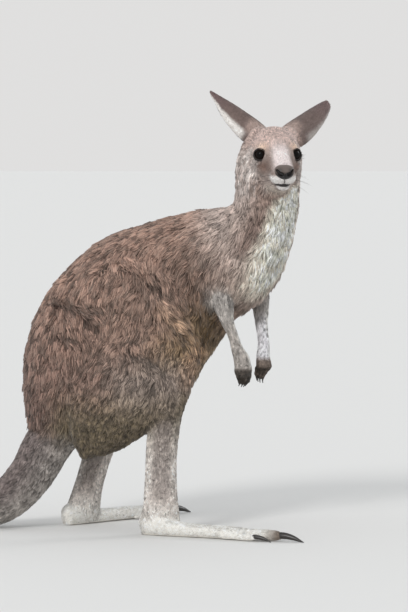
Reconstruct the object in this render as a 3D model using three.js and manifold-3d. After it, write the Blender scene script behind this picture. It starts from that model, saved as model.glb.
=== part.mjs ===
// Kangaroo, a still life-size model of a young eastern grey, standing at ease.
// Millimetres, +Z up, +X the way the hips face, +Y the animal's left.
// Every solid follows the outline of the coat, out to the tips of the hair.
import * as THREE from "three";
import Module from "manifold-3d";

const wasm = await Module();
wasm.setup();

// Driving sizes.
const GAP = 0.3; // clearance between pieces that touch
const SEAM = 0.4; // width of the thin cuts that part one length from the next
const FOOT_LENGTH = 362; // heel to the tip of the longest claw
const HEAD_AT = [147, -167, 773]; // the point midway between the eyes
const HEAD_TURN = 81; // the face looks this far round from +X towards -Y, degrees
const EYE_RADIUS = 13;
const EYE_SPREAD = 33; // from the middle of the head to the middle of an eyeball
const EAR_THICKNESS = 3.4;
const FINGERS = 5;
const FINGER_REACH = 29; // the longest finger, without its claw
const FINGER_RADIUS = 5.2;
const FINGER_CLAW = 10;
const FINGER_CLAW_RADIUS = 2;
const TIP_SPREAD = 9.8; // half the span of the fingers' tips
const PALM_HALF_DEPTH = 12;
const HAND_CUP = 4; // how far the outer fingers stand in from the middle one
const CLEAR = 4000; // reach of a cutting block well past the animal

const SKIN = {
  coat: new THREE.MeshStandardMaterial({ color: "#7d6658", roughness: 0.95, metalness: 0 }),
  paleCoat: new THREE.MeshStandardMaterial({ color: "#b9ada3", roughness: 0.95, metalness: 0 }),
  darkCoat: new THREE.MeshStandardMaterial({ color: "#4a3f3b", roughness: 0.95, metalness: 0 }),
  nose: new THREE.MeshStandardMaterial({ color: "#2c2a28", roughness: 0.55, metalness: 0 }),
  eye: new THREE.MeshStandardMaterial({ color: "#0d0a09", roughness: 0.06, metalness: 0 }),
  claw: new THREE.MeshStandardMaterial({ color: "#1d1917", roughness: 0.4, metalness: 0 }),
};

const vec = (point) => new THREE.Vector3(...point);
const unit = (point) => vec(point).normalize();

/** A closed solid from rings of points, each ring one turn about the path it follows. */
function solidFromRings(rings, ends) {
  const points = rings.flat();
  const count = rings[0].length;
  const faces = [];
  for (let row = 0; row < rings.length - 1; row += 1) {
    for (let step = 0; step < count; step += 1) {
      const a = row * count + step;
      const b = row * count + ((step + 1) % count);
      faces.push(a, b, b + count, a, b + count, a + count);
    }
  }
  faces.push(...ends(points, count, rings.length));
  const mesh = new wasm.Mesh({
    numProp: 3,
    vertProperties: new Float32Array(points.flatMap((p) => [p.x, p.y, p.z])),
    triVerts: new Uint32Array(faces),
  });
  return new wasm.Manifold(mesh);
}

/** Closes the first and last rings with fans of faces about their middles. */
function fanEnds(points, count, rows) {
  const faces = [];
  for (const [row, turned] of [[0, true], [rows - 1, false]]) {
    const ring = points.slice(row * count, (row + 1) * count);
    const middle = ring.reduce((sum, p) => sum.add(p), new THREE.Vector3()).divideScalar(count);
    const hub = points.push(middle) - 1;
    for (let step = 0; step < count; step += 1) {
      const a = row * count + step;
      const b = row * count + ((step + 1) % count);
      faces.push(...(turned ? [hub, b, a] : [hub, a, b]));
    }
  }
  return faces;
}

/** Closes the two ends of a folded sheet, whose ring runs out along one face and back. */
function sheetEnds(points, count, rows) {
  const faces = [];
  for (const [row, turned] of [[0, true], [rows - 1, false]]) {
    for (let step = 0; step < count / 2 - 1; step += 1) {
      const a = row * count + step;
      const b = a + 1;
      const c = row * count + count - 2 - step;
      const d = c + 1;
      faces.push(...(turned ? [a, c, b, a, d, c] : [a, b, c, a, c, d]));
    }
  }
  return faces;
}

/**
 * A rounded body along a smooth path. Each station is [x, y, z, wide, top, under, turn]:
 * its middle, its half-sizes to the side, above and below, and the turn of its side
 * about the vertical. Rings stand square to the path and both ends are domes.
 */
function loft(stations, { around, between, domes, capRings = 3, grow = 0 }) {
  const path = new THREE.CatmullRomCurve3(stations.map((s) => new THREE.Vector3(s[0], s[1], s[2])));
  const sizes = new THREE.CatmullRomCurve3(
    stations.map((s) => new THREE.Vector3(s[3], s[4], s[5])), false, "catmullrom");
  const turns = new THREE.CatmullRomCurve3(
    stations.map((s) => new THREE.Vector3(THREE.MathUtils.degToRad(s[6] ?? 0), 0, 0)),
    false, "catmullrom");
  const rows = (stations.length - 1) * between;
  const ringAt = (share, push, scale) => {
    const ahead = path.getTangent(share);
    const turn = turns.getPoint(share).x;
    const side = new THREE.Vector3(Math.sin(turn), Math.cos(turn), 0);
    side.addScaledVector(ahead, -side.dot(ahead)).normalize();
    const above = new THREE.Vector3().crossVectors(ahead, side);
    const middle = path.getPoint(share).addScaledVector(ahead, push);
    const half = sizes.getPoint(share);
    const ring = [];
    for (let step = 0; step < around; step += 1) {
      const angle = ((step + 0.5) * 2 * Math.PI) / around;
      const rise = Math.sin(angle) > 0 ? half.y + grow : half.z + grow;
      const point = middle.clone();
      point.addScaledVector(side, scale * Math.cos(angle) * (half.x + grow));
      point.addScaledVector(above, scale * Math.sin(angle) * rise);
      ring.push(point);
    }
    return ring;
  };
  const rings = [];
  for (let cap = capRings; cap > 0; cap -= 1) {
    const swing = (cap / (capRings + 0.35)) * (Math.PI / 2);
    rings.push(ringAt(0, -(domes[0] + grow) * Math.sin(swing), Math.cos(swing)));
  }
  for (let row = 0; row <= rows; row += 1) rings.push(ringAt(row / rows, 0, 1));
  for (let cap = 1; cap <= capRings; cap += 1) {
    const swing = (cap / (capRings + 0.35)) * (Math.PI / 2);
    rings.push(ringAt(1, (domes[1] + grow) * Math.sin(swing), Math.cos(swing)));
  }
  return solidFromRings(rings, fanEnds);
}

/** A ball about a point. */
function ball(middle, radius, grow = 0) {
  const around = 10;
  const rows = 7;
  const globe = new THREE.SphereGeometry(radius + grow, around, rows);
  const point = globe.attributes.position;
  const rings = [];
  for (let row = rows - 1; row > 0; row -= 1) {
    const ring = [];
    for (let step = 0; step < around; step += 1) {
      const at = row * (around + 1) + step;
      ring.push(new THREE.Vector3(point.getX(at), -point.getZ(at), point.getY(at)).add(middle));
    }
    rings.push(ring);
  }
  return solidFromRings(rings, fanEnds);
}

/** A box of the given size about a point, with its own X axis along a direction. */
function block(middle, size, along = [1, 0, 0]) {
  const geometry = new THREE.BoxGeometry(...size);
  const spin = new THREE.Quaternion().setFromUnitVectors(new THREE.Vector3(1, 0, 0), unit(along));
  const corner = (x, y, z) => new THREE.Vector3(x, y, z)
    .multiply(geometry.boundingBox.max).applyQuaternion(spin).add(vec(middle));
  geometry.computeBoundingBox();
  const square = (x) => [corner(x, 1, -1), corner(x, 1, 1), corner(x, -1, 1), corner(x, -1, -1)];
  return solidFromRings([square(-1), square(1)], fanEnds);
}

/** A thin cut square to a direction, reaching `reach` to each side of its middle. */
const seam = (middle, along, reach) => block(middle, [SEAM, 2 * reach, 2 * reach], along);

const joined = (solids) => solids.reduce((whole, piece) => whole.add(piece));
const cutBy = (solid, tools) => tools.reduce((rest, tool) => rest.subtract(tool), solid);

/** The largest connected piece of a solid. */
const main = (solid) => solid.decompose().sort((a, b) => b.volume() - a.volume())[0];

/** The one connected piece of a solid that lies nearest a point. */
function pieceNear(pieces, point) {
  const distance = (solid) => {
    const box = solid.boundingBox();
    const middle = vec(box.min).add(vec(box.max)).multiplyScalar(0.5);
    return middle.distanceTo(vec(point));
  };
  return [...pieces].sort((a, b) => distance(a) - distance(b))[0];
}

const belowFloor = block([0, 0, -CLEAR / 2], [CLEAR, CLEAR, CLEAR]);
const kangaroo = new THREE.Group();

/** Adds a finished solid to the model as a named piece. */
function place(name, solid, material) {
  const mesh = solid.getMesh();
  const geometry = new THREE.BufferGeometry();
  geometry.setAttribute("position", new THREE.BufferAttribute(mesh.vertProperties, 3));
  geometry.setIndex(new THREE.BufferAttribute(mesh.triVerts, 1));
  const piece = new THREE.Mesh(geometry, material);
  piece.name = name;
  kangaroo.add(piece);
}

// ---------------------------------------------------------------------------
// Head: skull, muzzle and cheeks in one body that looks round towards -Y, with
// the eyeballs in their sockets, the bare nose pad and two long ears.

const faceAhead = new THREE.Vector3(
  Math.cos(THREE.MathUtils.degToRad(HEAD_TURN)), -Math.sin(THREE.MathUtils.degToRad(HEAD_TURN)), 0);
const faceLeft = new THREE.Vector3(-faceAhead.y, faceAhead.x, 0);

/** A point given ahead of, left of and above the middle of the eyes. */
const inHead = (ahead, left, up) => vec(HEAD_AT)
  .addScaledVector(faceAhead, ahead).addScaledVector(faceLeft, left).add(vec([0, 0, up]));

// Lengthways stations of the head: [ahead, up, wide, top, under].
const HEAD_STATIONS = [
  [-88, -14, 44, 46, 52],
  [-68, -16, 57, 65, 60],
  [-42, -18, 58, 73, 63],
  [-14, -22, 52, 64, 60],
  [10, -30, 41, 51, 50],
  [32, -38, 31, 46, 41],
  [54, -43, 26, 38, 34],
  [74, -46, 22.5, 29, 29],
];

const headLoft = (grow) => loft(
  HEAD_STATIONS.map(([ahead, up, wide, top, under]) => [
    ...inHead(ahead, 0, up).toArray(), wide, top, under, HEAD_TURN]),
  { around: 12, between: 2, domes: [20, 13], grow });

const noseLoft = (grow) => loft(
  [[70, -33, 16, 11, 12], [79, -35, 17.5, 13, 15], [86, -37, 14, 12, 14]]
    .map(([ahead, up, wide, top, under]) => [
      ...inHead(ahead, 0, up).toArray(), wide, top, under, HEAD_TURN]),
  { around: 10, between: 1, domes: [3, 5], capRings: 2, grow });

const eyeBall = (side, grow) => ball(inHead(-2, side * EYE_SPREAD, -3), EYE_RADIUS, grow);

/**
 * An ear: a leaf rolled into a tube at its root, opening towards its tip. A roll is a share of
 * the length, the half-width of the flat leaf and the half-angle it is rolled through.
 */
function ear({ root, tip, back, rolls }, grow) {
  const length = vec(tip).sub(vec(root));
  const along = length.clone().normalize();
  const outward = unit(back);
  outward.addScaledVector(along, -outward.dot(along)).normalize();
  const across = new THREE.Vector3().crossVectors(along, outward);
  const cells = 6;
  const rings = rolls.map(([share, leaf, roll]) => {
    const radius = leaf / roll;
    const spine = vec(root).addScaledVector(length, share);
    const rim = (step, reach) => {
      const angle = ((step / cells) * 2 - 1) * (roll + grow / radius);
      return spine.clone()
        .addScaledVector(outward, reach * Math.cos(angle) - radius)
        .addScaledVector(across, reach * Math.sin(angle));
    };
    const ring = [];
    for (let step = 0; step <= cells; step += 1) ring.push(rim(step, radius + grow));
    for (let step = cells; step >= 0; step -= 1) ring.push(rim(step, radius - EAR_THICKNESS - grow));
    return ring;
  });
  return solidFromRings(rings, sheetEnds);
}

const EARS = {
  ear_right: {
    root: inHead(-58, -28, 50).toArray(), reach: [-96, 37, 73], back: [0.42, -0.85, 0.45],
    rolls: [
      [0, 52, 2.1], [0.15, 51, 1.85], [0.4, 41, 1.65], [0.65, 28, 1.45],
      [0.82, 16, 1.3], [0.94, 9, 0.95], [1, 4, 0.6],
    ],
  },
  ear_left: {
    root: inHead(-60, 34, 53).toArray(), reach: [78, 84, 51], back: [-0.3, -0.65, 0.7],
    rolls: [
      [0, 58, 2.0], [0.15, 56, 1.8], [0.4, 45, 1.5], [0.65, 34, 1.25],
      [0.82, 25, 1.1], [0.94, 16.5, 0.95], [1, 5, 0.6],
    ],
  },
};
for (const shape of Object.values(EARS)) {
  shape.tip = shape.root.map((value, axis) => value + shape.reach[axis]);
}

for (const [name, side] of [["eye_right", -1], ["eye_left", 1]]) {
  place(name, eyeBall(side, 0), SKIN.eye);
}
for (const [name, shape] of Object.entries(EARS)) place(name, ear(shape, 0), SKIN.darkCoat);
place("nose", noseLoft(0), SKIN.nose);

const head = main(cutBy(headLoft(0), [
  eyeBall(-1, GAP), eyeBall(1, GAP), noseLoft(GAP), ear(EARS.ear_right, GAP), ear(EARS.ear_left, GAP),
]));
place("head", head, SKIN.coat);

// ---------------------------------------------------------------------------
// Claws: horn cones that curve down from the end of a toe or finger.

/** A curved cone from a root to a tip, hooked towards `hook`. */
function claw({ root, ahead, hook, length, radius }, grow) {
  const bend = (share, drop) => vec(root)
    .addScaledVector(vec(ahead), length * share).addScaledVector(vec(hook), length * drop).toArray();
  const taper = (share) => Math.max(radius * share, 0.5);
  const sizes = (share) => [taper(share), taper(share), taper(share)];
  return loft(
    [[...bend(0, 0), ...sizes(1)], [...bend(0.5, 0.07), ...sizes(0.72)], [...bend(1, 0.3), ...sizes(0.12)]],
    { around: 6, between: 1, domes: [0, 0], capRings: 0, grow });
}

// ---------------------------------------------------------------------------
// Forelimbs: an upper arm under the shoulder's coat, a slim forearm and a small
// hand with five clawed fingers, in one body parted at the elbow and the wrist.

const ARMS = [
  {
    side: "right",
    arm: [
      [20, -100, 572, 26, 36, 40], [28, -114, 523, 27, 33, 37], [37, -128, 477, 23, 27, 29],
      [46, -133, 437, 17, 16, 17], [58, -135, 407, 13, 11.5, 12], [67, -136, 380, 13.5, 12.5, 14],
      [75, -138, 360, 15.5, 16.5, 17],
    ],
    elbow: 452,
    hand: { palm: [79, -139, 337], down: [0.16, 0.02, -1], across: [0.94, 0.3, 0.1], wide: 18.5 },
  },
  {
    side: "left",
    arm: [
      [98, 0, 575, 26, 34, 38], [108, -10, 528, 26, 29, 33], [114, -22, 487, 22, 24, 25],
      [116, -32, 455, 18, 18, 19], [117, -42, 424, 14, 13.5, 14], [121, -56, 388, 13, 13, 13],
      [120, -67, 361, 14, 14.5, 14.5],
    ],
    elbow: 466,
    hand: { palm: [121, -77, 344], down: [-0.55, -0.12, -0.8], across: [0.75, -0.55, -0.35], wide: 17.5 },
  },
];

/** The paths of one hand's fingers, from the palm to their tips, and the claw on each. */
function fingersOf({ palm, down, across, wide }) {
  const drop = unit(down);
  const width = unit(across);
  width.addScaledVector(drop, -width.dot(drop)).normalize();
  const inside = new THREE.Vector3().crossVectors(width, drop);
  const fingers = [];
  for (let finger = 0; finger < FINGERS; finger += 1) {
    const spread = (finger / (FINGERS - 1)) * 2 - 1; // -1 to 1 across the palm
    const reach = FINGER_REACH * (1 - 0.12 * spread * spread);
    const cup = vec(palm).addScaledVector(inside, HAND_CUP * spread * spread);
    const root = cup.clone().addScaledVector(width, spread * (wide - FINGER_RADIUS));
    const tip = cup.clone().addScaledVector(width, spread * TIP_SPREAD)
      .addScaledVector(drop, reach * 0.92).addScaledVector(inside, reach * 0.24);
    const knuckle = root.clone().lerp(tip, 0.55).addScaledVector(inside, reach * -0.1);
    const ahead = tip.clone().sub(knuckle).normalize();
    fingers.push({
      path: [root, knuckle, tip],
      claw: {
        root: tip.toArray(), ahead: ahead.toArray(), hook: inside.toArray(),
        length: FINGER_CLAW, radius: FINGER_CLAW_RADIUS,
      },
    });
  }
  return fingers;
}

const limbs = []; // every limb with its clearance, to be cut out of the trunk
for (const { side, arm, elbow, hand } of ARMS) {
  const fingers = fingersOf(hand);
  fingers.forEach((finger, number) => {
    place(`fore_claw_${side}_${number + 1}`, claw(finger.claw, 0), SKIN.claw);
  });
  const armLoft = (grow) => loft(
    [...arm, [...hand.palm, PALM_HALF_DEPTH, hand.wide, hand.wide]],
    { around: 9, between: 1, domes: [24, 13], capRings: 2, grow });
  const fingerLofts = fingers.map(({ path }) => loft(
    path.map((point, joint) => {
      const radius = FINGER_RADIUS - 0.4 * joint;
      return [...point.toArray(), radius, radius, radius];
    }), { around: 5, between: 1, domes: [0, 0], capRings: 0 }));
  const whole = cutBy(joined([armLoft(0), ...fingerLofts]), fingers.map((finger) => claw(finger.claw, GAP)));
  const wrist = arm.at(-1);
  const parts = cutBy(whole, [
    seam([arm[3][0], arm[3][1], elbow], [-0.25, 0, 1], 45),
    seam([wrist[0], wrist[1], wrist[2] - 4], [-0.1, 0, 1], 32),
  ]).decompose();
  place(`upper_arm_${side}`, pieceNear(parts, arm[1]), SKIN.coat);
  place(`forearm_${side}`, pieceNear(parts, arm[4]), SKIN.paleCoat);
  place(`hand_${side}`, pieceNear(parts, hand.palm), SKIN.darkCoat);
  limbs.push(armLoft(GAP));
}

// ---------------------------------------------------------------------------
// Hind legs: the great thigh, the upright shank and the long foot that lies
// flat on the floor, in one body parted at the knee and the ankle.

const LEGS = [
  {
    side: "right",
    outer: -1,
    thigh: [
      [-236, -76, 312, 46, 92, 166, 0], [-172, -92, 310, 58, 138, 146, 2],
      [-108, -106, 306, 54, 128, 104, 3], [-64, -115, 300, 40, 78, 73, 3],
    ],
    shank: [
      [-64, -113, 300, 34, 38, 46], [-77, -111, 236, 29, 33, 39], [-85, -109, 160, 26, 32, 34],
      [-87, -108, 92, 25, 35, 36], [-88, -109, 48, 23.5, 40, 39], [-90, -109, 22, 24, 46, 45],
    ],
    knee: [[-85, -110, 192], [-0.35, 0, 1]],
    heel: [-129, -98],
    toesOut: -24,
  },
  {
    side: "left",
    outer: 1,
    thigh: [
      [-268, 68, 312, 46, 92, 146, -24], [-228, 89, 310, 57, 132, 132, -26],
      [-180, 112, 306, 52, 118, 98, -28], [-146, 128, 300, 39, 76, 73, -28],
    ],
    shank: [
      [-150, 125, 300, 34, 40, 46, -20], [-178, 120, 236, 29, 36, 40, -20],
      [-213, 108, 160, 26, 31, 34, -24], [-235, 99, 92, 25, 32, 33, -30],
      [-244, 93, 50, 24, 35, 40, -34], [-250, 90, 22, 24, 42, 47, -38],
    ],
    knee: [[-203, 112, 180], [-0.35, 0, 1]],
    heel: [-290, 57],
    toesOut: 43,
  },
];

// Stations of the foot from the heel forward: [ahead, up, wide, top, under].
const FOOT_STATIONS = [
  [12, 22, 19, 22, 26], [40, 21, 23, 24, 25], [80, 16, 22, 16, 19.5], [130, 14.5, 21, 13.5, 17.5],
  [185, 14, 22.5, 13.5, 17], [228, 12.5, 23, 12, 15.5],
];
// The fourth toe is the great one, the fifth lies outside it, and the slim second and third
// lie side by side inside. `out` is how far outward each toe starts and ends.
const TOES = [
  { name: "4", from: 214, to: 312, out: [1, 1], radius: 12.5, claw: 46, clawRadius: 7.5 },
  { name: "5", from: 190, to: 264, out: [15, 22], radius: 8.5, claw: 32, clawRadius: 5 },
  { name: "3", from: 184, to: 240, out: [-15, -20], radius: 6.2, claw: 15, clawRadius: 2.9 },
  { name: "2", from: 184, to: 238, out: [-20, -27], radius: 5.6, claw: 15, clawRadius: 2.9 },
];

for (const { side, outer, thigh, shank, knee, heel, toesOut } of LEGS) {
  const turn = THREE.MathUtils.degToRad(toesOut);
  const ahead = new THREE.Vector3(Math.cos(turn), Math.sin(turn), 0);
  const outward = new THREE.Vector3(-ahead.y, ahead.x, 0).multiplyScalar(outer);
  const inFoot = (forward, out, up) => new THREE.Vector3(heel[0], heel[1], up)
    .addScaledVector(ahead, forward).addScaledVector(outward, out);
  const clawShape = ({ to, out, claw: length, clawRadius }) => ({
    root: inFoot(to - 2, out[1], clawRadius + 4).toArray(),
    ahead: ahead.toArray(), hook: [0, 0, -1], length: length + 2, radius: clawRadius,
  });
  for (const toe of TOES) {
    place(`hind_claw_${side}_${toe.name}`, main(claw(clawShape(toe), 0).subtract(belowFloor)), SKIN.claw);
  }
  const sole = loft(
    FOOT_STATIONS.map(([forward, up, wide, top, under]) => [
      ...inFoot(forward, 0, up).toArray(), wide, top, under, -toesOut]),
    { around: 9, between: 1, domes: [12, 11], capRings: 2 });
  const toes = TOES.map(({ from, to, out, radius }) => loft(
    [
      [...inFoot(from, out[0], radius + 1).toArray(), radius, radius, radius + 2],
      [...inFoot((from + to) / 2, (out[0] + out[1]) / 2, radius + 1).toArray(), radius, radius, radius + 2],
      [...inFoot(to - 6, out[1], radius * 0.85).toArray(), radius * 0.85, radius * 0.8, radius],
    ], { around: 5, between: 1, domes: [5, 6], capRings: 1 }));
  const legLoft = (grow) => joined([
    loft(thigh, { around: 12, between: 2, domes: [46, 40], grow }),
    loft(shank, { around: 12, between: 1, domes: [20, 20], capRings: 2, grow }),
  ]);
  const whole = cutBy(joined([legLoft(0), sole, ...toes]), [
    belowFloor, ...TOES.map((toe) => claw(clawShape(toe), GAP)),
  ]);
  const parts = cutBy(whole, [
    seam(knee[0], knee[1], 72),
    seam([shank.at(-1)[0], shank.at(-1)[1], 50], [0, 0, 1], 70),
  ]).decompose();
  place(`thigh_${side}`, pieceNear(parts, thigh[1]), SKIN.coat);
  place(`shank_${side}`, pieceNear(parts, shank[2]), SKIN.paleCoat);
  place(`foot_${side}`, pieceNear(parts, inFoot(FOOT_LENGTH / 2, 0, 25).toArray()), SKIN.paleCoat);
  limbs.push(legLoft(GAP));
}

// ---------------------------------------------------------------------------
// Tail: thick and muscular at its root, down to the floor and straight back
// along it, parted into three lengths.

const tailLoft = (grow) => loft([
  [-952, 84, 7.5, 8.5, 8.5, 8.5, 0], [-860, 72, 12.5, 14, 14, 14], [-740, 56, 18.5, 20.5, 20.5, 20.5],
  [-620, 40, 25, 27, 27, 27], [-520, 26, 32, 34, 34, 34], [-448, 16, 41, 41, 42, 42],
  [-396, 8, 66, 46, 46, 46], [-354, 3, 114, 50, 49, 50], [-322, 0, 170, 56, 54, 54],
  [-286, 0, 222, 62, 58, 58],
], { around: 11, between: 1, domes: [10, 20], capRings: 2, grow });

const tailParts = cutBy(main(cutBy(tailLoft(0), [belowFloor, ...limbs])), [
  seam([-448, 16, 41], [1, 0, -0.4], 95), seam([-690, 48, 20], [1, 0, 0], 60),
]).decompose();
place("tail_root", pieceNear(tailParts, [-354, 3, 114]), SKIN.coat);
place("tail_middle", pieceNear(tailParts, [-570, 32, 30]), SKIN.coat);
place("tail_end", pieceNear(tailParts, [-820, 66, 15]), SKIN.coat);

// ---------------------------------------------------------------------------
// Trunk and neck: one body from the rump over the arched back to the throat,
// parted at the loins and at the root of the neck.

const TRUNK_STATIONS = [
  [-300, 0, 205, 60, 70, 45, -12], [-263, 0, 275, 95, 122, 90, -12], [-202, -2, 378, 118, 157, 140, -8],
  [-114, -12, 469, 120, 157, 168, 4], [-18, -38, 541, 98, 114, 137, 20], [69, -78, 584, 83, 92, 116, 32],
  [117, -102, 648, 66, 62, 79, 42], [129, -109, 704, 70, 63, 71, 56], [133, -112, 766, 67, 53, 45, 68],
];
const trunkLoft = loft(TRUNK_STATIONS, { around: 16, between: 1, domes: [34, 26] });
const trunk = main(cutBy(trunkLoft, [headLoft(GAP), ...limbs, tailLoft(GAP)]));
const trunkParts = cutBy(trunk, [
  seam([-60, -26, 510], [0.78, -0.2, 0.6], 230), seam([98, -94, 622], [0.42, -0.3, 0.85], 110),
]).decompose();
place("hips", pieceNear(trunkParts, [-180, -5, 380]), SKIN.coat);
place("chest", pieceNear(trunkParts, [40, -65, 565]), SKIN.coat);
place("neck", pieceNear(trunkParts, [128, -108, 690]), SKIN.coat);

// The origin is under the middle of the whole model, on the floor.
kangaroo.updateMatrixWorld(true);
const extent = new THREE.Box3().setFromObject(kangaroo);
const middle = extent.getCenter(new THREE.Vector3());
kangaroo.position.set(-middle.x, -middle.y, -extent.min.z);

export default kangaroo;
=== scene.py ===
# A young eastern grey kangaroo, life size, standing still and looking round over its
# right side. Meshes are in metres. The tables are in millimetres of the animal's own
# frame, +X from its tail to its breast, +Y to its left, on a floor at zero.
import math

import bpy
import numpy as np
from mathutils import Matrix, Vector
from mathutils.bvhtree import BVHTree
from mathutils.kdtree import KDTree


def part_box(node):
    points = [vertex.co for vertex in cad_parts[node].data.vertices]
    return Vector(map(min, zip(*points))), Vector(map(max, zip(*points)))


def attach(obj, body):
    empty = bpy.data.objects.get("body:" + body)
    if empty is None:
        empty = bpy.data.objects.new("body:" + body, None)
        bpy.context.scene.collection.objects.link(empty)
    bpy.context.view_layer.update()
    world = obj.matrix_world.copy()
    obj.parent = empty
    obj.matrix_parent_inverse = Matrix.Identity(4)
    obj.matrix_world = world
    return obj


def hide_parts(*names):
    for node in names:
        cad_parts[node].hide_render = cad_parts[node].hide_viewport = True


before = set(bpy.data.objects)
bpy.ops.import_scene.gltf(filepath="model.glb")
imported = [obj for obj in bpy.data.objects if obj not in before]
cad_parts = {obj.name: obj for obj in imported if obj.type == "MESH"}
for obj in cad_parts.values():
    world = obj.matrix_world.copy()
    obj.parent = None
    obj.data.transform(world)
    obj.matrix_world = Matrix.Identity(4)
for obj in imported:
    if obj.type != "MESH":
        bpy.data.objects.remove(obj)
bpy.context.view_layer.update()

# ---------------------------------------------------------------------------
# Trunk, limbs and tail: flesh and skin, padded out along the bones. Every length is a closed
# tube or egg that lies inside the coat by the depth of its hair, and they melt into one body
# once the head is added.

SIDES = {"right": -1, "left": 1}
CAPS = np.radians([15, 30, 45, 60, 72, 83])  # rings of the dome that closes a limb's end


def unit(vectors):
    """Each vector divided by its length."""
    vectors = np.asarray(vectors, float)
    return vectors / np.maximum(np.linalg.norm(vectors, axis=-1, keepdims=True), 1e-12)


def eased(stations, per=6):
    """Values eased through the stations a, b, c, d: Catmull-Rom cubics, half of
    2b + (c-a)t + (2a-5b+4c-d)t^2 + (3b-a-3c+d)t^3."""
    s = np.asarray(stations, float)
    s = np.vstack([2 * s[0] - s[1], s, 2 * s[-1] - s[-2]])
    t = (np.arange(per) / per)[None, :, None]
    a, b, c, d = (s[k:len(s) - 3 + k, None, :] for k in range(4))
    runs = 2 * b + (c - a) * t + (2 * a - 5 * b + 4 * c - d) * t**2 + (3 * b - a - 3 * c + d) * t**3
    return np.vstack([runs.reshape(-1, s.shape[1]) / 2, s[-2]])


def carried(stations, domes, per=6):
    """Frames of rings along a path. A station is x, y, z, wide, top, under, turn, coat: the
    middle, the half-sizes out to the hair's tips, the turn of the side axis about the
    vertical in degrees, and the depth of the coat. End rings shrink by a cosine and move on
    by a sine, which closes each end in a dome."""
    rows = eased(stations, per)
    ahead = unit(np.gradient(rows[:, :3], axis=0))
    turn = np.radians(rows[:, 6])
    side = np.stack([np.sin(turn), np.cos(turn), 0 * turn], axis=1)
    side = unit(side - ahead * np.sum(side * ahead, axis=1, keepdims=True))
    half = np.maximum(rows[:, 3:6] - rows[:, 7:8], 1.0)
    ends = [max(domes[0] - rows[0, 7], 1), max(domes[1] - rows[-1, 7], 1)]
    still = 0 * rows[:, 0]
    push = np.concatenate([-ends[0] * np.sin(CAPS[::-1]), still, ends[1] * np.sin(CAPS)])
    scale = np.concatenate([np.cos(CAPS[::-1]), still + 1, np.cos(CAPS)])
    pick = np.concatenate([0 * CAPS, np.arange(len(rows)), 0 * CAPS + len(rows) - 1]).astype(int)
    return {
        "middle": rows[pick, :3] + ahead[pick] * push[:, None], "ahead": ahead[pick],
        "side": side[pick], "above": np.cross(ahead, side)[pick], "half": half[pick] * scale[:, None],
        "share": pick / (len(rows) - 1.0)}


def powered(value, power):
    """The value with its size raised to the power, its sign kept."""
    return np.sign(value) * np.abs(value) ** power


def oval_rings(path, around=32, square=2.0):
    """Rings about a path: middle + side*wide*c + above*rise*s, where c and s are the cosine
    and sine with their size raised to 2/square, so ovals grow squarer as square passes 2."""
    angle = np.arange(around) * 2 * math.pi / around
    c, s = (powered(wave, 2 / square) for wave in (np.cos(angle), np.sin(angle)))
    rise = np.where(s > 0, path["half"][:, 1:2], path["half"][:, 2:3]) * s
    return (
        path["middle"][:, None] + path["side"][:, None] * (path["half"][:, :1] * c)[..., None]
        + path["above"][:, None] * rise[..., None])


def closed(rings):
    """Corners and faces of a tube of rings, closed by a fan of faces at each end."""
    rows, around = rings.shape[:2]
    corners = np.vstack([rings.reshape(-1, 3), rings[:1].mean(1), rings[-1:].mean(1)])
    loop = np.arange(around)
    onward = (loop + 1) % around
    start = (np.arange(rows - 1)[:, None] * around + loop).ravel()
    step = (np.arange(rows - 1)[:, None] * around + onward).ravel()
    sides = np.stack([start, step, step + around, start + around], axis=1)
    last, hub = (rows - 1) * around, rows * around
    fans = np.vstack([np.stack([onward, loop, loop * 0 + hub], axis=1),
                      np.stack([loop + last, onward + last, loop * 0 + hub + 1], axis=1)])
    return corners, sides.tolist() + fans.tolist()


def tube(stations, domes, around=32, square=2.0):
    """The closed body of the stations."""
    return closed(oval_rings(carried(stations, domes), around, square))


def egg(middle, ahead, above, halves, around=28):
    """A ball stretched to its half-sizes ahead, to the side and above, set to those ways."""
    ahead = unit(ahead)
    side = unit(np.cross(above, ahead))
    above = np.cross(ahead, side)
    tilt = np.linspace(-1, 1, around // 2 + 1)[1:-1] * math.pi / 2
    turn = np.arange(around) * 2 * math.pi / around
    x, y, z = (np.sin(tilt)[:, None] + 0 * turn, np.cos(tilt)[:, None] * np.cos(turn),
               np.cos(tilt)[:, None] * np.sin(turn))
    return closed(
        np.asarray(middle) + x[..., None] * ahead * halves[0]
        + y[..., None] * side * halves[1] + z[..., None] * above * halves[2])


TRUNK = [  # from the rump over the back to the crown of the neck
    (-300, 0, 205, 60, 70, 45, -12, 8), (-263, 0, 275, 95, 122, 90, -12, 7),
    (-202, -2, 378, 118, 157, 140, -8, 6), (-114, -12, 469, 120, 157, 168, 4, 5),
    (-18, -38, 541, 98, 114, 137, 20, 6), (69, -78, 584, 83, 92, 116, 32, 9),
    (117, -102, 648, 66, 62, 79, 42, 9), (126, -109, 704, 67, 63, 71, 56, 7),
    (130, -112, 766, 64, 53, 45, 68, 6)]
TAIL = [  # from the tip to the root
    (-952, 84, 7.5, 8.5, 8.5, 8.5, 0, 2), (-860, 72, 12.5, 14, 14, 14, 0, 4),
    (-740, 56, 18.5, 20.5, 20.5, 20.5, 0, 4.5), (-620, 40, 25, 27, 27, 27, 0, 5),
    (-520, 26, 32, 34, 34, 34, 0, 5.5), (-448, 16, 41, 41, 42, 42, 0, 6),
    (-396, 8, 66, 46, 46, 46, 0, 7), (-354, 3, 114, 50, 49, 50, 0, 8),
    (-322, 0, 170, 56, 54, 54, 0, 9), (-286, 0, 222, 62, 58, 58, 0, 10)]
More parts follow.
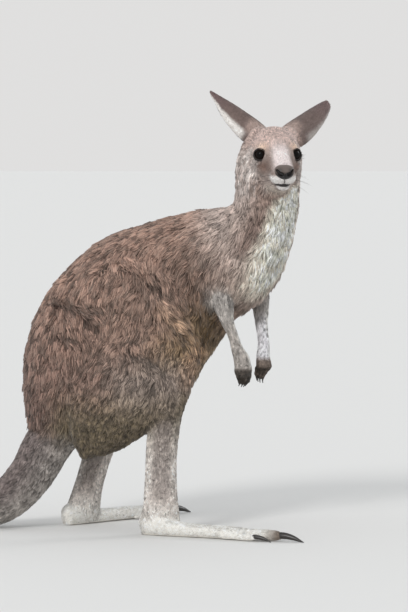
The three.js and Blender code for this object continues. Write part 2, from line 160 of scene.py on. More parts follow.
THIGHS = {  # from the hip to the knee
    "right": [
        (-236, -76, 312, 46, 92, 166, 0, 8), (-172, -92, 310, 58, 138, 146, 2, 8),
        (-108, -106, 306, 54, 128, 104, 3, 8), (-64, -115, 300, 40, 78, 73, 3, 6)],
    "left": [
        (-268, 68, 312, 46, 92, 146, -24, 8), (-228, 89, 310, 57, 132, 132, -26, 8),
        (-180, 112, 306, 52, 118, 98, -28, 8), (-146, 128, 300, 39, 76, 73, -28, 6)]}
SHANKS = {  # from the knee to the heel
    "right": [
        (-64, -113, 300, 34, 38, 46, 0, 8), (-77, -111, 236, 29, 33, 39, 0, 5),
        (-85, -109, 160, 26, 32, 34, 0, 4), (-87, -108, 92, 25, 35, 36, 0, 3.5),
        (-88, -109, 48, 23.5, 40, 39, 0, 3), (-90, -109, 22, 24, 46, 45, 0, 3)],
    "left": [
        (-150, 125, 300, 34, 38, 46, -20, 8), (-178, 120, 236, 29, 36, 40, -20, 5),
        (-213, 108, 160, 26, 31, 34, -24, 4), (-235, 99, 92, 25, 32, 33, -30, 3.5),
        (-244, 93, 50, 24, 35, 40, -34, 3), (-250, 90, 22, 24, 42, 47, -38, 3)]}
ARMS = {  # from the shoulder to the palm
    "right": [
        (20, -100, 572, 26, 36, 40, 0, 12), (28, -114, 523, 27, 33, 37, 0, 10),
        (37, -128, 477, 23, 27, 29, 0, 7), (46, -133, 437, 17, 16, 17, 0, 4),
        (58, -135, 407, 13, 11.5, 12, 0, 2.5), (67, -136, 380, 13.5, 12.5, 14, 0, 2.5),
        (75, -138, 360, 15.5, 16.5, 17, 0, 2.2), (79, -139, 337, 13, 18.5, 18.5, 0, 1.6)],
    "left": [
        (98, 0, 575, 26, 34, 38, 0, 12), (108, -10, 528, 26, 29, 33, 0, 10),
        (114, -22, 487, 22, 24, 25, 0, 7), (116, -32, 455, 18, 18, 19, 0, 4),
        (117, -42, 424, 14, 13.5, 14, 0, 2.5), (121, -56, 388, 13, 13, 13, 0, 2.5),
        (120, -67, 361, 14, 14.5, 14.5, 0, 2.2), (121, -77, 344, 13, 16.5, 16.5, 0, 1.6)]}
FEET = {"right": ((-129, -98), -24), "left": ((-290, 57), 43)}  # the heel, and the toes' turn out
SOLE = [  # ahead of the heel, up, wide, top, under, coat
    (12, 22, 19, 22, 26, 2.5), (40, 21, 23, 24, 25, 2.5), (80, 16, 22, 16, 19.5, 2.5),
    (130, 14.5, 21, 13.5, 17.5, 2.5), (185, 14, 22.5, 13.5, 17, 2.5), (228, 12.5, 23, 12, 15.5, 2)]
TOES = [  # name, from and to ahead of the heel, outward at each end, radius, claw, claw radius
    ("4", 214, 312, (1, 1), 12.5, 46, 7.5), ("5", 190, 264, (15, 22), 8.5, 32, 5.0),
    ("3", 184, 240, (-15, -20), 6.2, 15, 2.9), ("2", 184, 238, (-20, -27), 5.6, 15, 2.9)]
TOE_FULLNESS = [(0, 1.0), (0.4, 0.9), (0.64, 0.97), (0.86, 0.9), (0.97, 0.74)]  # knuckle, joint, pad
HANDS = {  # the palm's middle, the way down it, the way across it, its half-width
    "right": ((80, -139, 336), (0.16, 0.02, -1), (0.94, 0.3, 0.1), 19.5),
    "left": ((121, -77, 344), (-0.55, -0.12, -0.8), (0.75, -0.55, -0.35), 17.5)}
FINGERS = 5
FINGER_REACH, TIP_SPREAD = 29.0, 9.8
# how far the domes stand out that close each tube, at its first and its last station
TRUNK_DOMES, TAIL_DOMES, THIGH_DOMES, SHANK_DOMES = (34, 26), (10, 20), (46, 40), (20, 20)
ARM_DOMES, FOOT_DOMES, TOE_DOMES, SKULL_DOMES = (24, 13), (12, 11), (5, 6), (20, 12)
TRUNK_SQUARE, THIGH_SQUARE, SKULL_SQUARE = 2.15, 2.1, 2.2  # 2 is an oval, more is squarer


def in_foot(side, ahead, out, up):
    """The point so far ahead of the heel, outward and up."""
    heel, turn = FEET[side]
    forward = np.array([math.cos(math.radians(turn)), math.sin(math.radians(turn)), 0])
    outward = np.array([-forward[1], forward[0], 0]) * SIDES[side]
    return np.array([*heel, up]) + forward * ahead + outward * out


def toe(side, start, end, out, radius):
    """A toe: full at the knuckle, pinched at the joint, full at the pad, narrow at the claw."""
    stations = []
    for share, full in TOE_FULLNESS:
        at = in_foot(side, start + (end - 4 - start) * share, out[0] + (out[1] - out[0]) * share,
                     radius * (1.02 - 0.12 * share))
        stations.append((*at, *(radius * full * np.array([0.94, 0.92, 1.0])), -FEET[side][1], 0.8))
    return tube(stations, TOE_DOMES, around=20)


def finger_line(side, finger):
    """Root, knuckle and tip of a finger, and the way it bends. Fingers are spread evenly from
    -1 to 1 over the palm, close in towards their tips, and both shorten and cup the hand by
    the square of that."""
    palm, down, across, wide = HANDS[side]
    drop = unit(down)
    width = unit(np.array(across) - drop * drop.dot(across))
    inside = np.cross(width, drop)
    spread = 2 * finger / (FINGERS - 1) - 1
    reach = FINGER_REACH * (1 - 0.12 * spread**2)
    cup = np.array(palm) + inside * 4 * spread**2
    root = cup + width * spread * (wide - 5.2)
    tip = cup + width * spread * TIP_SPREAD + drop * reach * 0.92 + inside * reach * 0.24
    return root, root * 0.45 + tip * 0.55 - inside * reach * 0.1, tip, inside


def finger(side, number):
    """A finger: full knuckles, slim shafts and a rounded pad."""
    root, knuckle, tip, _ = finger_line(side, number)
    in_palm = root * 1.4 - knuckle * 0.4
    spots = [(in_palm, 2.8), (root, 4.2), ((root + knuckle) / 2, 3.7), (knuckle, 4.0),
             ((knuckle + tip) / 2, 3.0), (tip, 3.0)]
    return tube([(*spot, r, r, r, 0, 0.1) for spot, r in spots], (3, 3), around=16)


def sole(side):
    """Stations of a foot's own path, from the heel to the balls of the toes."""
    return [(*in_foot(side, ahead, 0, up), wide, top, under, -FEET[side][1], coat)
            for ahead, up, wide, top, under, coat in SOLE]


body = [tube(TRUNK, TRUNK_DOMES, 48, TRUNK_SQUARE), tube(TAIL, TAIL_DOMES)]
for side in SIDES:
    body += [tube(THIGHS[side], THIGH_DOMES, 44, THIGH_SQUARE), tube(SHANKS[side], SHANK_DOMES)]
    body += [tube(ARMS[side], ARM_DOMES, 28)]
    body += [tube(sole(side), FOOT_DOMES, 28, 2.3)]
    body += [toe(side, *row[1:5]) for row in TOES]
    body += [finger(side, number) for number in range(FINGERS)]
body += [
    # the fold of skin from the flank down to each knee
    egg((-62, -118, 412), (0.62, -0.03, -0.8), (0.8, 0, 0.62), (84, 26, 22)),
    egg((-142, 118, 412), (0.62, 0.1, -0.8), (0.8, 0, 0.62), (80, 26, 22)),
    # shoulders
    egg((22, -104, 566), (0.25, -0.1, -1), (1, 0, 0.3), (74, 24, 38)),
    egg((84, -6, 574), (0.25, -0.1, -1), (1, 0, 0.3), (70, 26, 44)),
    egg((62, -30, 600), (0.6, 0.3, -0.6), (0, 0, 1), (60, 44, 44)),
    # knee caps
    egg((-42, -114, 318), (0.2, 0, 1), (1, 0, -0.2), (40, 24, 18)),
    egg((-124, 132, 318), (0.2, 0, 1), (1, 0, -0.2), (40, 24, 18)),
    # the swell of the belly between the thighs, and the base of the tail
    egg((-120, -8, 330), (1, 0, 0.55), (-0.5, 0, 1), (120, 72, 86)),
    egg((-226, -30, 236), (1, 0, 0.1), (0, 0, 1), (62, 48, 66))]

# ---------------------------------------------------------------------------
# The head: bone and thin muscle under skin. Skull and jaw are tubes along the head, and eggs
# stand for the lids, brows, cheeks, whisker pads, ear roots and chin.

HEAD_AT = np.array([147.0, -167.0, 773.0])  # midway between the eyes
HEAD_TURN = math.radians(81)
FACE_AHEAD = np.array([math.cos(HEAD_TURN), -math.sin(HEAD_TURN), 0.0])
FACE_LEFT = np.array([math.sin(HEAD_TURN), math.cos(HEAD_TURN), 0.0])
UP = np.array([0.0, 0.0, 1.0])
EYE_RADIUS = 13.0
EYE_PLACE = (-2.0, 33.0, -3.0)  # ahead of, beside and above the middle of the eyes


def in_head(ahead, left, up):
    """The point so far ahead, left and above the middle of the eyes."""
    return HEAD_AT + np.multiply.outer(ahead, FACE_AHEAD) + np.multiply.outer(
        left, FACE_LEFT) + np.multiply.outer(up, UP)


EYE_MIDDLES = {side: in_head(EYE_PLACE[0], out * EYE_PLACE[1], EYE_PLACE[2])
               for side, out in SIDES.items()}


def head_egg(ahead, left, up, halves, nose_down=0.0, outward=0.0):
    """An egg placed in the head, tipped nose down and turned outward by so many degrees."""
    dip, out = math.radians(nose_down), math.radians(outward)
    way = FACE_AHEAD * math.cos(dip) * math.cos(out) + FACE_LEFT * math.sin(out) - UP * math.sin(dip)
    return egg(in_head(ahead, left, up), way, UP, halves)


SKULL = [  # ahead, up, wide, top, under, coat: nape, crown, brow, face, bridge, muzzle
    (-88, -14, 42, 46, 52, 5), (-68, -16, 54, 65, 60, 4), (-42, -18, 56, 73, 60, 3.5),
    (-14, -22, 50, 64, 52, 3.5), (8, -29, 38, 50.5, 42, 3.5), (28, -35.5, 28.5, 43, 33, 3),
    (54, -40, 24.5, 33, 24, 3), (72, -40, 22, 22, 20, 3)]
JAW = [(-52, -56, 40, 20, 24, 6), (-14, -61, 35, 16, 20, 5), (20, -66, 25.5, 14, 13.5, 4),
       (48, -68, 18, 10, 9.5, 3), (66, -68, 13.5, 8, 8, 2.5)]


def along_head(stations):
    """Stations given as ahead, up, wide, top, under and coat, put into the head."""
    return [(*in_head(ahead, 0, up), wide, top, under, math.degrees(HEAD_TURN), coat)
            for ahead, up, wide, top, under, coat in stations]


body += [tube(along_head(SKULL), SKULL_DOMES, 48, SKULL_SQUARE),
         tube(along_head(JAW), (16, 9), 36, SKULL_SQUARE)]
HEAD_EGGS = [  # ahead, out, up, half-sizes, degrees its nose dips, degrees it turns in
    (-6, 27, 13, (22, 13, 8), 12, 8),  # brow ridge
    (-36, 35, -36, (34, 15, 32), 20, 6),  # chewing muscle
    (-6, 31, -24, (32, 13, 13), 22, 12),  # cheek bone below the eye
    (62, 11.5, -48, (21, 13.5, 14), 4, 8),  # whisker pad and lip
    (-58, 29, 30, (24, 20, 22), 0, 0)]  # root of the ear
LID_DEPTH = 2.3  # from the eyeball out to the skin of the lids
for side, out in SIDES.items():
    body += [egg(EYE_MIDDLES[side], FACE_AHEAD, UP, [EYE_RADIUS + LID_DEPTH] * 3)]
    body += [head_egg(ahead, out * aside, up, halves, dip, out * -turned)
             for ahead, aside, up, halves, dip, turned in HEAD_EGGS]
    body += [head_egg(-60, out * 35 - 3, -10, (26, 25, 50), 0, 0)]  # side of the neck behind the jaw
body += [head_egg(62, 0, -69, (17, 14, 7), 0), head_egg(60, 0, -34, (22, 14, 12), 12)]  # chin, nose

# ---------------------------------------------------------------------------
# One skin: all these bodies are melted into a single closed surface, softened where muscles
# run into each other, flattened where it bears on the floor, and thinned out where it is plain.

MELT_VOXEL = 0.0021  # metres
MELT_ROUNDS = 50
PLAIN_SKIN_KEPT = 0.27  # share of the faces left away from face and hands
FACE_FIRM, LIMBS_FIRM, TOES_FIRM = 0.93, 0.86, 0.1  # how much less these are softened
FLOOR_GAP = 0.0006  # metres that the bare soles stay above the floor
MM = 0.001  # in metres
# the right eye is laid on the CAD's, and everything else follows it
eye_low, eye_high = (np.array(corner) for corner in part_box("eye_right"))
SHIFT = (eye_low + eye_high) / 2 - EYE_MIDDLES["right"] * MM


def solid(name, *bodies):
    """An object made of closed bodies in millimetres, put into the frame in metres."""
    corners, faces, start = [], [], 0
    for body_corners, body_faces in bodies:
        corners.append(np.asarray(body_corners) * MM + SHIFT)
        faces += [[corner + start for corner in face] for face in body_faces]
        start += len(body_corners)
    mesh = bpy.data.meshes.new(name)
    mesh.from_pydata(np.vstack(corners).tolist(), [], faces)
    mesh.update()
    piece = bpy.data.objects.new(name, mesh)
    bpy.context.scene.collection.objects.link(piece)
    return piece


def applied(piece):
    """The piece with its modifiers made final."""
    bpy.context.view_layer.update()
    made = bpy.data.meshes.new_from_object(piece.evaluated_get(bpy.context.evaluated_depsgraph_get()))
    piece.modifiers.clear()
    old, piece.data = piece.data, made
    bpy.data.meshes.remove(old)
    made.name = piece.name
    return piece


def read_out(rows, name, kind, width):
    """What a mesh keeps for each of its corners, edges or faces, as rows of so many numbers."""
    flat = np.empty(len(rows) * width, kind)
    rows.foreach_get(name, flat)
    return flat.reshape(-1, width)


def spread(values, edges, rounds, share=0.5):
    """Values moved towards the mean of their neighbours along the edges, over and over: the
    share may differ from corner to corner."""
    one = np.concatenate([edges[:, 0], edges[:, 1]])
    other = np.concatenate([edges[:, 1], edges[:, 0]])
    count = np.maximum(np.bincount(one, minlength=len(values)), 1)[:, None]
    share = np.broadcast_to(np.reshape(share, (-1, 1)), (len(values), 1))
    for _ in range(rounds):
        near = np.stack([np.bincount(one, values[other, column], len(values))
                         for column in range(values.shape[1])], 1)
        values = values + share * (near / count - values)
    return values


def own(places):
    """Metres of the frame as millimetres of the animal."""
    return (places - SHIFT) / MM


def measured(mesh):
    """The mesh's corners in metres, its edges, and its corners in the animal's millimetres."""
    places = read_out(mesh.vertices, "co", np.float32, 3).astype(float)
    return places, read_out(mesh.edges, "vertices", np.int32, 2), own(places)


def head_parts(places):
    """How far each own-frame place lies ahead of, left of and above the middle of the eyes."""
    away = places - HEAD_AT
    return away @ FACE_AHEAD, away @ FACE_LEFT, away @ UP


def nearness(places, middle, reach):
    """A bell about the middle: e to the minus square of the distance over the reach."""
    return np.exp(-np.sum(((places - np.asarray(middle, float)) / reach) ** 2, axis=1))


def ramp(value, start, end):
    """0 before start, 1 past end, and 3t^2 - 2t^3 between them."""
    t = np.clip((np.asarray(value, float) - start) / (end - start), 0, 1)
    return t * t * (3 - 2 * t)


skin = solid("kangaroo_skin", *body)
voxels = skin.modifiers.new("melt", "REMESH")
voxels.mode, voxels.voxel_size = "VOXEL", MELT_VOXEL
applied(skin)
places, edges, at = measured(skin.data)
ahead, left, up = head_parts(at)
in_face = ramp(at[:, 2], 690, 730) * ramp(ahead, -84, -50) * ramp(np.abs(left), 60, 48)
low = ramp(at[:, 2], 300, 180)
limb = np.maximum(low, ramp(at[:, 0], 20, 60) * ramp(at[:, 2], 500, 440))
hands_feet = np.maximum(ramp(at[:, 2], 60, 30) * ramp(at[:, 0], -330, -290),
                        ramp(at[:, 2], 390, 350) * ramp(at[:, 0], 20, 50))
melt = np.clip(1 - FACE_FIRM * in_face - LIMBS_FIRM * limb - TOES_FIRM * hands_feet, 0.04, 1) * 0.6
places = spread(places, edges, MELT_ROUNDS, melt)
places[:, 2] = np.maximum(places[:, 2], FLOOR_GAP)
skin.data.vertices.foreach_set("co", places.astype(np.float32).ravel())
plain = skin.vertex_groups.new(name="plain")
plain.add(np.flatnonzero((in_face < 0.3) & (hands_feet < 0.5)).tolist(), 1.0, "REPLACE")
thinner = skin.modifiers.new("thinner", "DECIMATE")
thinner.ratio, thinner.vertex_group = PLAIN_SKIN_KEPT, "plain"
applied(skin)
skin.vertex_groups.clear()

# ---------------------------------------------------------------------------
# Ears: gristle between two skins. Each is a leaf rolled about its own length, closed like a
# funnel at the root, and joined to the skin.

EARS = {"right": ((-58, -28, 50), (-96, 37, 73), (0.42, -0.85, 0.45)),
        "left": ((-60, 34, 53), (78, 84, 51), (-0.3, -0.65, 0.7))}  # root in the head, reach, back
EAR_ROLL = {  # share of the length, half-width of the flat leaf, half-angle of its roll
    "right": [(-0.14, 44, 2.3), (0, 52, 2.1), (0.15, 50, 1.85), (0.4, 40, 1.65), (0.65, 27, 1.45),
              (0.82, 15, 1.3), (0.94, 8, 1.1), (0.99, 4, 0.9), (1, 2.4, 0.7)],
    "left": [(-0.14, 50, 2.2), (0, 58, 2.0), (0.15, 56, 1.8), (0.4, 45, 1.5), (0.65, 34, 1.25),
             (0.82, 25, 1.1), (0.94, 16.5, 0.95), (0.99, 8.5, 0.8), (1, 4.5, 0.7)]}
EAR_WALL = 1.9  # full thickness in the middle of the leaf
EAR_SUNK = 1.6  # how far the leaf lies inside its own fur


def ear_frame(side):
    """Root, reach, the way along the ear, the way its back faces, and the way across."""
    root, reach, back = EARS[side]
    along = unit(reach)
    outward = unit(np.array(back) - along * along.dot(back))
    return in_head(*root), np.array(reach, float), along, outward, np.cross(along, outward)


def ear(side, cells=26, rows=7):
    """The leaf as a closed sheet. A point is root + reach*share + outward*(r*cos a - leaf/roll)
    + across*r*sin a. The wall thins to nothing at the rim as the root of 1 - t^2, where t goes
    from -1 to 1 across the leaf, and the rim turns in by the fourth power of t."""
    root, reach, _, outward, across = ear_frame(side)
    roll = eased(EAR_ROLL[side], rows)
    share, leaf, half_angle = (column[:, None] for column in roll.T)
    t = np.sin(np.linspace(-1, 1, cells + 1) * math.pi / 2)
    radius = leaf / half_angle
    thick = EAR_WALL * np.sqrt(np.clip(1 - t**2, 0, 1)) * (1.25 - 0.5 * ramp(share, 0.0, 0.8))
    ripple = 0.7 * np.cos(t * 9) * ramp(share, 0.1, 0.3) * (1 - ramp(share, 0.55, 0.8)) * (1 - t**4)

    def layer(reach_out, angle):
        """One face of the leaf, that far out from the axis of its roll."""
        rise, aside = reach_out * np.cos(angle) - radius, reach_out * np.sin(angle)
        return root + share[..., None] * reach + outward * rise[..., None] + across * aside[..., None]

    angle = t * half_angle + 0.10 * np.sign(t) * t**4 * ramp(share, 0.1, 0.4)
    mid = radius - EAR_SUNK
    outer = layer(mid + thick / 2, angle)
    inner = layer(mid - thick / 2 - ripple * (thick > 0.8), angle)
    return closed(np.concatenate([outer, inner[:, -2:0:-1]], axis=1))


def booled(piece, cutter, operation):
    """The piece joined with, or cut by, another closed body."""
    step = piece.modifiers.new(operation.lower(), "BOOLEAN")
    step.operation, step.solver, step.object = operation, "MANIFOLD", cutter
    applied(piece)
    bpy.data.objects.remove(cutter)


for side in SIDES:
    booled(skin, solid("ear", ear(side)), "UNION")

# ---------------------------------------------------------------------------
# Lids and lips. The skin is cut by the eyeball, by an almond gap between the lids, and by a
# thin curved wedge where the lips meet.

GAZE_OUT = math.radians(25)
GAZE_UP = math.radians(4)
EYE_TILT = math.radians(9)  # the corner at the nose sits lower
EYE_OPEN = (11.8, 9.6, 9.2)  # half-width, and how far the lids part above and below
EYE_ROOM = 0.15  # between eyeball and skin
MOUTH_BACK, MOUTH_UP = 40.0, -62.0  # how far ahead its corners lie, and its height in front
MOUTH_CURVE = 8  # how much higher its corners lie


def gaze(side):
    """The way an eye looks, the level way across it towards the nose, and the way up it."""
    out = SIDES[side]
    look = unit(FACE_AHEAD * math.cos(GAZE_OUT) + FACE_LEFT * math.sin(GAZE_OUT) * out
                + UP * math.sin(GAZE_UP))
    inner = unit(np.cross(UP, look) * -out)
    tilted = inner * math.cos(EYE_TILT) - UP * math.sin(EYE_TILT)
    return look, tilted, np.cross(look, tilted) * out


def eyelid_gap(side):
    """The almond gap between the lids, carried out from the middle of the eyeball: its rim is
    inner*w*cos + up*h*sin, with h drawn in towards the corners by the sine's own size."""
    look, inner, above = gaze(side)
    centre = EYE_MIDDLES[side]
    angle = np.arange(48) * 2 * math.pi / 48
    wide = EYE_OPEN[0] * np.cos(angle)
    tall = np.where(np.sin(angle) > 0, EYE_OPEN[1], EYE_OPEN[2]) * np.sin(angle)
    tall = tall * np.abs(np.sin(angle)) ** 0.22
    rim = inner * wide[:, None] + above * tall[:, None]
    rings = [centre + look * 2 + rim * 0.9, centre + look * 9 + rim, centre + look * 15 + rim * 1.08,
             centre + look * 26 + rim * 1.2]
    return closed(np.array(rings) if side == "left" else np.array(rings)[:, ::-1])


def mouth_line(turn):
    """The parting of the lips on the skin: turn runs from -1 at the right corner to 1 at the
    left, as the angle round the muzzle. It rises to the corners by the square of turn."""
    angle = turn * math.pi / 2
    outward = unit(np.multiply.outer(np.cos(angle), FACE_AHEAD)
                   + np.multiply.outer(np.sin(angle), FACE_LEFT))
    start = in_head(MOUTH_BACK, 0 * turn, 0) + np.multiply.outer(MOUTH_UP + MOUTH_CURVE * turn**2, UP)
    hits = [muzzle.ray_cast(Vector(a * MM + SHIFT), Vector(b))[0] for a, b in zip(start, outward)]
    return (np.array(hits) - SHIFT) / MM, outward


def mouth_gap():
    """A thin curved wedge along the mouth line, thickest in front and thin at the corners."""
    turn = np.linspace(-1, 1, 41)
    line, outward = mouth_line(turn)
    thick = (1.0 + 0.8 * (1 - turn**2) ** 0.5)[:, None] * UP
    inside, outside = line - outward * 8, line + outward * 6
    return closed(np.stack([inside - thick, outside - thick * 1.5, outside + thick * 1.5, inside + thick],
                           axis=1)[::-1])


for side, middle in EYE_MIDDLES.items():
    socket = egg(middle, FACE_AHEAD, UP, [EYE_RADIUS + EYE_ROOM] * 3, 64)
    booled(skin, solid("socket", socket), "DIFFERENCE")
    booled(skin, solid("lids", eyelid_gap(side)), "DIFFERENCE")
muzzle = BVHTree.FromObject(skin, bpy.context.evaluated_depsgraph_get())
MOUTH_POINTS = mouth_line(np.linspace(-1, 1, 33))[0]
booled(skin, solid("mouth", mouth_gap()), "DIFFERENCE")

# ---------------------------------------------------------------------------
# Folds of the flank: loose skin that gathers between the ribs and the knee. The trunk is
# softened once more, and each fold pushes it out, or a crease lets it in, by a bell about a
# line. The same lines paint light on the coat's folds and shade in its creases, and turn its hair.

FOLDS = [  # lines of the flank, each end as x and z, the half-width, and how far it stands up
    ((-97, 475), (-54, 429), 9, 6), ((-54, 429), (2, 374), 9, 7), ((-68, 472), (-34, 429), 7, 4),
    ((-34, 429), (-2, 389), 7, 5), ((-65, 455), (-19, 400), 4, -4), ((-86, 446), (-48, 409), 5, -5),
    ((-48, 409), (-31, 389), 5, -5), ((-169, 555), (-127, 549), 10, 5), ((-127, 549), (-88, 525), 10, 6),
    ((-88, 525), (-74, 501), 9, 6), ((-74, 501), (-48, 473), 9, 4), ((-111, 518), (-74, 493), 8, -5),
    ((-11, 525), (14, 458), 6, -4), ((14, 458), (32, 429), 6, -4), ((-300, 480), (-206, 461), 7, -5),
    ((-302, 466), (-228, 452), 5, -4), ((-290, 412), (-248, 400), 7, -5),
    ((-274, 264), (-262, 196), 8, -5), ((-242, 438), (-212, 420), 6, -4),
    ((-150, 372), (-104, 352), 7, -4), ((-122, 372), (-66, 318), 7, -4)]
LEFT_LEG_BACK = 82  # the left leg stands that much further back
LEFT_FROM = 20  # what lies further left than this is the left side
LEFT_FOLDS = 0.5  # height of the left side's folds, as a share of the right side's
RIBS_MIDDLE = [-120, -10, 440]
TRUNK_ROUNDS, EAR_ROOT_ROUNDS = 60, 6


def off_line(points, start, end):
    """The distance of each point from a straight piece of line."""
    start, way = np.asarray(start, float), np.subtract(end, start)
    along = np.clip((points - start) @ way / way.dot(way), 0, 1)
    return np.linalg.norm(points - start - along[:, None] * way, axis=1)


def bell(distance, reach):
    """e to the minus square of the distance over the reach."""
    return np.exp(-(distance / reach) ** 2)


def off_fold(at, start, end, wide):
    """A bell about a line of the flank, seen from the side, on either side of the body."""
    flat = np.stack([at[:, 0] + LEFT_LEG_BACK * (at[:, 1] > LEFT_FROM), at[:, 2]], axis=1)
    return bell(off_line(flat, start, end), wide) * ramp(np.abs(at[:, 1] - 5), 25, 45)


places, edges, at = measured(skin.data)
ahead, left, up = head_parts(at)
in_face = ramp(at[:, 2], 700, 740) * ramp(ahead, -96, -50)
ear_seam = sum(nearness(at, in_head(*EARS[side][0]), 15) for side in SIDES)
trunk = (1 - in_face) * ramp(at[:, 2], 200, 300) * (1 - ramp(at[:, 0], 0, 40) * ramp(at[:, 2], 540, 470))
tail_base = nearness(at, (-275, 0, 215), (60, 70, 60))
on_ear = np.zeros(len(at))
for side in SIDES:
    root, _, along, _, _ = ear_frame(side)
    climb = (at - root) @ along
    near_axis = np.linalg.norm(at - root - climb[:, None] * along, axis=1) < 42
    on_ear = np.maximum(on_ear, ramp(climb, 12, 24) * near_axis * ramp(at[:, 2], 800, 812))
soften = np.clip(trunk + tail_base, 0, 1) * 0.6 * (1 - on_ear) * (1 - ramp(at[:, 2], 770, 800))
places = spread(places, edges, TRUNK_ROUNDS, soften)
places = spread(places, edges, EAR_ROOT_ROUNDS, np.clip(ear_seam, 0, 0.6) * (1 - on_ear))
at = own(places)
outward = unit(at - RIBS_MIDDLE) * [0.5, 1, 0.5]
for start, end, wide, height in FOLDS:
    stands_up = height * MM * trunk * np.where(at[:, 1] > LEFT_FROM, LEFT_FOLDS, 1.0)
    places += outward * (stands_up * off_fold(at, start, end, wide))[:, None]
skin.data.vertices.foreach_set("co", places.astype(np.float32).ravel())
skin.data.update()
places, edges, at = measured(skin.data)

# ---------------------------------------------------------------------------
# Where each bit of skin belongs: the nearest ring of a part's own path gives its share of
# the way along the part, its angle round it, and the way the hair lies there.

PARTS = ("trunk", "head", "thigh", "shank", "foot", "arm", "tail", "ear")
TRUNK_PART, HEAD_PART, THIGH_PART, SHANK_PART = range(4)
FOOT_PART, ARM_PART, TAIL_PART, EAR_PART = range(4, 8)


def guides():
    """Ring points of every part: place, part, share, cosine and sine of the angle, lie."""
    rows = []

    def add(part, path, flow, around=28, square=2.0, start=0.0, end=1.0):
        """One part's rings: hair flows along its path by 1, against it by -1."""
        rings = oval_rings(path, around, square)
        angle = np.arange(around) * 2 * math.pi / around
        count = len(rings)
        lie = np.repeat((path["ahead"] * flow)[:, None], around, axis=1)
        share = start + (end - start) * path["share"]
        rows.append(np.concatenate([
            rings, np.full((count, around, 1), part), np.repeat(share[:, None, None], around, axis=1),
            np.tile(np.stack([np.cos(angle), np.sin(angle)], axis=-1), (count, 1, 1)), lie,
        ], axis=2).reshape(-1, 10))

    add(TRUNK_PART, carried(TRUNK, TRUNK_DOMES), -1, 44, TRUNK_SQUARE)
    add(TAIL_PART, carried(TAIL, TAIL_DOMES), -1)
    add(HEAD_PART, carried(along_head(SKULL), SKULL_DOMES), -1, 44, SKULL_SQUARE)
    for side in SIDES:
        add(THIGH_PART, carried(THIGHS[side], THIGH_DOMES), 1, 40, THIGH_SQUARE)
        add(SHANK_PART, carried(SHANKS[side], SHANK_DOMES), 1)
        add(ARM_PART, carried(ARMS[side], ARM_DOMES), 1, end=0.8)
        add(FOOT_PART, carried(sole(side), FOOT_DOMES), 1, end=0.7)
        for _, first, last, out, radius, _, _ in TOES:
            middles = [in_foot(side, first + (last - first) * k, out[0] + (out[1] - out[0]) * k, radius)
                       for k in (0, 0.5, 1)]
            toe_rows = [(*middle, radius, radius, radius, -FEET[side][1], 0) for middle in middles]
            add(FOOT_PART, carried(toe_rows, TOE_DOMES), 1, 12, start=0.7)
        for number in range(FINGERS):
            root, knuckle, tip, _ = finger_line(side, number)
            finger_rows = [(*spot, 4.5, 4.5, 4.5, 0, 0) for spot in (root, knuckle, tip)]
            add(ARM_PART, carried(finger_rows, (3, 3)), 1, 10, start=0.8)
        root, reach, along, outward, across = ear_frame(side)
        points = ear(side)[0]
        share = np.clip((points - root) @ along / np.linalg.norm(reach), 0, 1)[:, None]
        angle = np.arctan2((points - root) @ across, (points - root) @ outward + 20)[:, None]
        rows.append(np.hstack([points, share * 0 + EAR_PART, share, np.cos(angle), np.sin(angle),
                               share * 0 + along])[share[:, 0] > 0.05])
    return np.vstack(rows)


def nearest(points, targets):
    """For each point the number of the nearest target."""
    tree = KDTree(len(targets))
    for number, target in enumerate(targets.tolist()):
        tree.insert(target, number)
    tree.balance()
    return np.fromiter((tree.find(point)[1] for point in points.tolist()), int, len(points))


guide = guides()
near = guide[nearest(at, guide[:, :3])]
part_of = near[:, 3].astype(int)
normal = read_out(skin.data.vertices, "normal", np.float32, 3).astype(float)
normal = unit(spread(normal, edges, 4))
belongs = spread(np.eye(len(PARTS))[part_of], edges, 14)  # how much each corner is of each part
share, angle_cos, angle_sin = near[:, 4], near[:, 5], near[:, 6]

# ---------------------------------------------------------------------------
# Markings and painted light: the fur's own colours, brown on the back, pale on the breast and
# feet, dark on the hands and the tail's end, with painted shade in the armpits, the creases,
# the finger gaps, the groove under the nose and over the low olive underside, and painted light
# on the folds' ridges and the far arm. Zones blend by ramps and bells, set in millimetres of the
# animal's frame or in shares of a part. One function colours both the skin and the locks over it.


def hue(red, green, blue):
    """A colour given out of 255, as the light it stands for: ((c + 0.055) / 1.055)^2.4."""
    c = np.array([red, green, blue]) / 255
    return ((c + 0.055) / 1.055) ** 2.4


def toward(colour, other, share):
    """Colours moved to another by a share for each place."""
    return colour + (other - colour) * np.reshape(share, (-1, 1))


def waves(points, size, seed, count=7):
    """Smooth hills and hollows between about -1 and 1, of that size: sines along random ways
    added up."""
    draw = np.random.default_rng(seed)
    ways = unit(draw.normal(size=(count, 3))) * draw.uniform(0.7, 1.5, (count, 1)) * 2 * math.pi / size
    return np.sin(points @ ways.T + draw.uniform(0, 6.28, count)).sum(axis=1) / math.sqrt(count) * 0.8


def gap_to(at, points):
    """The distance of each place from the nearest of a few points."""
    return np.min([np.linalg.norm(at - point, axis=1) for point in points], axis=0)


BACK_FUR, FLANK_FUR, RUMP_FUR = hue(148, 119, 105), hue(140, 115, 102), hue(112, 90, 83)
# the belly's colour in this row is part fur, part painted shade on the underside with a painted greenish
# reflection from below
BELLY_FUR_IN_PAINTED_SHADE, CHEST_FUR, SHOULDER_FUR = hue(140, 118, 88), hue(255, 248, 231), hue(194, 178, 169)
NECK_FUR, NAPE_FUR, THROAT_FUR = hue(150, 129, 119), hue(190, 174, 166), hue(200, 187, 175)
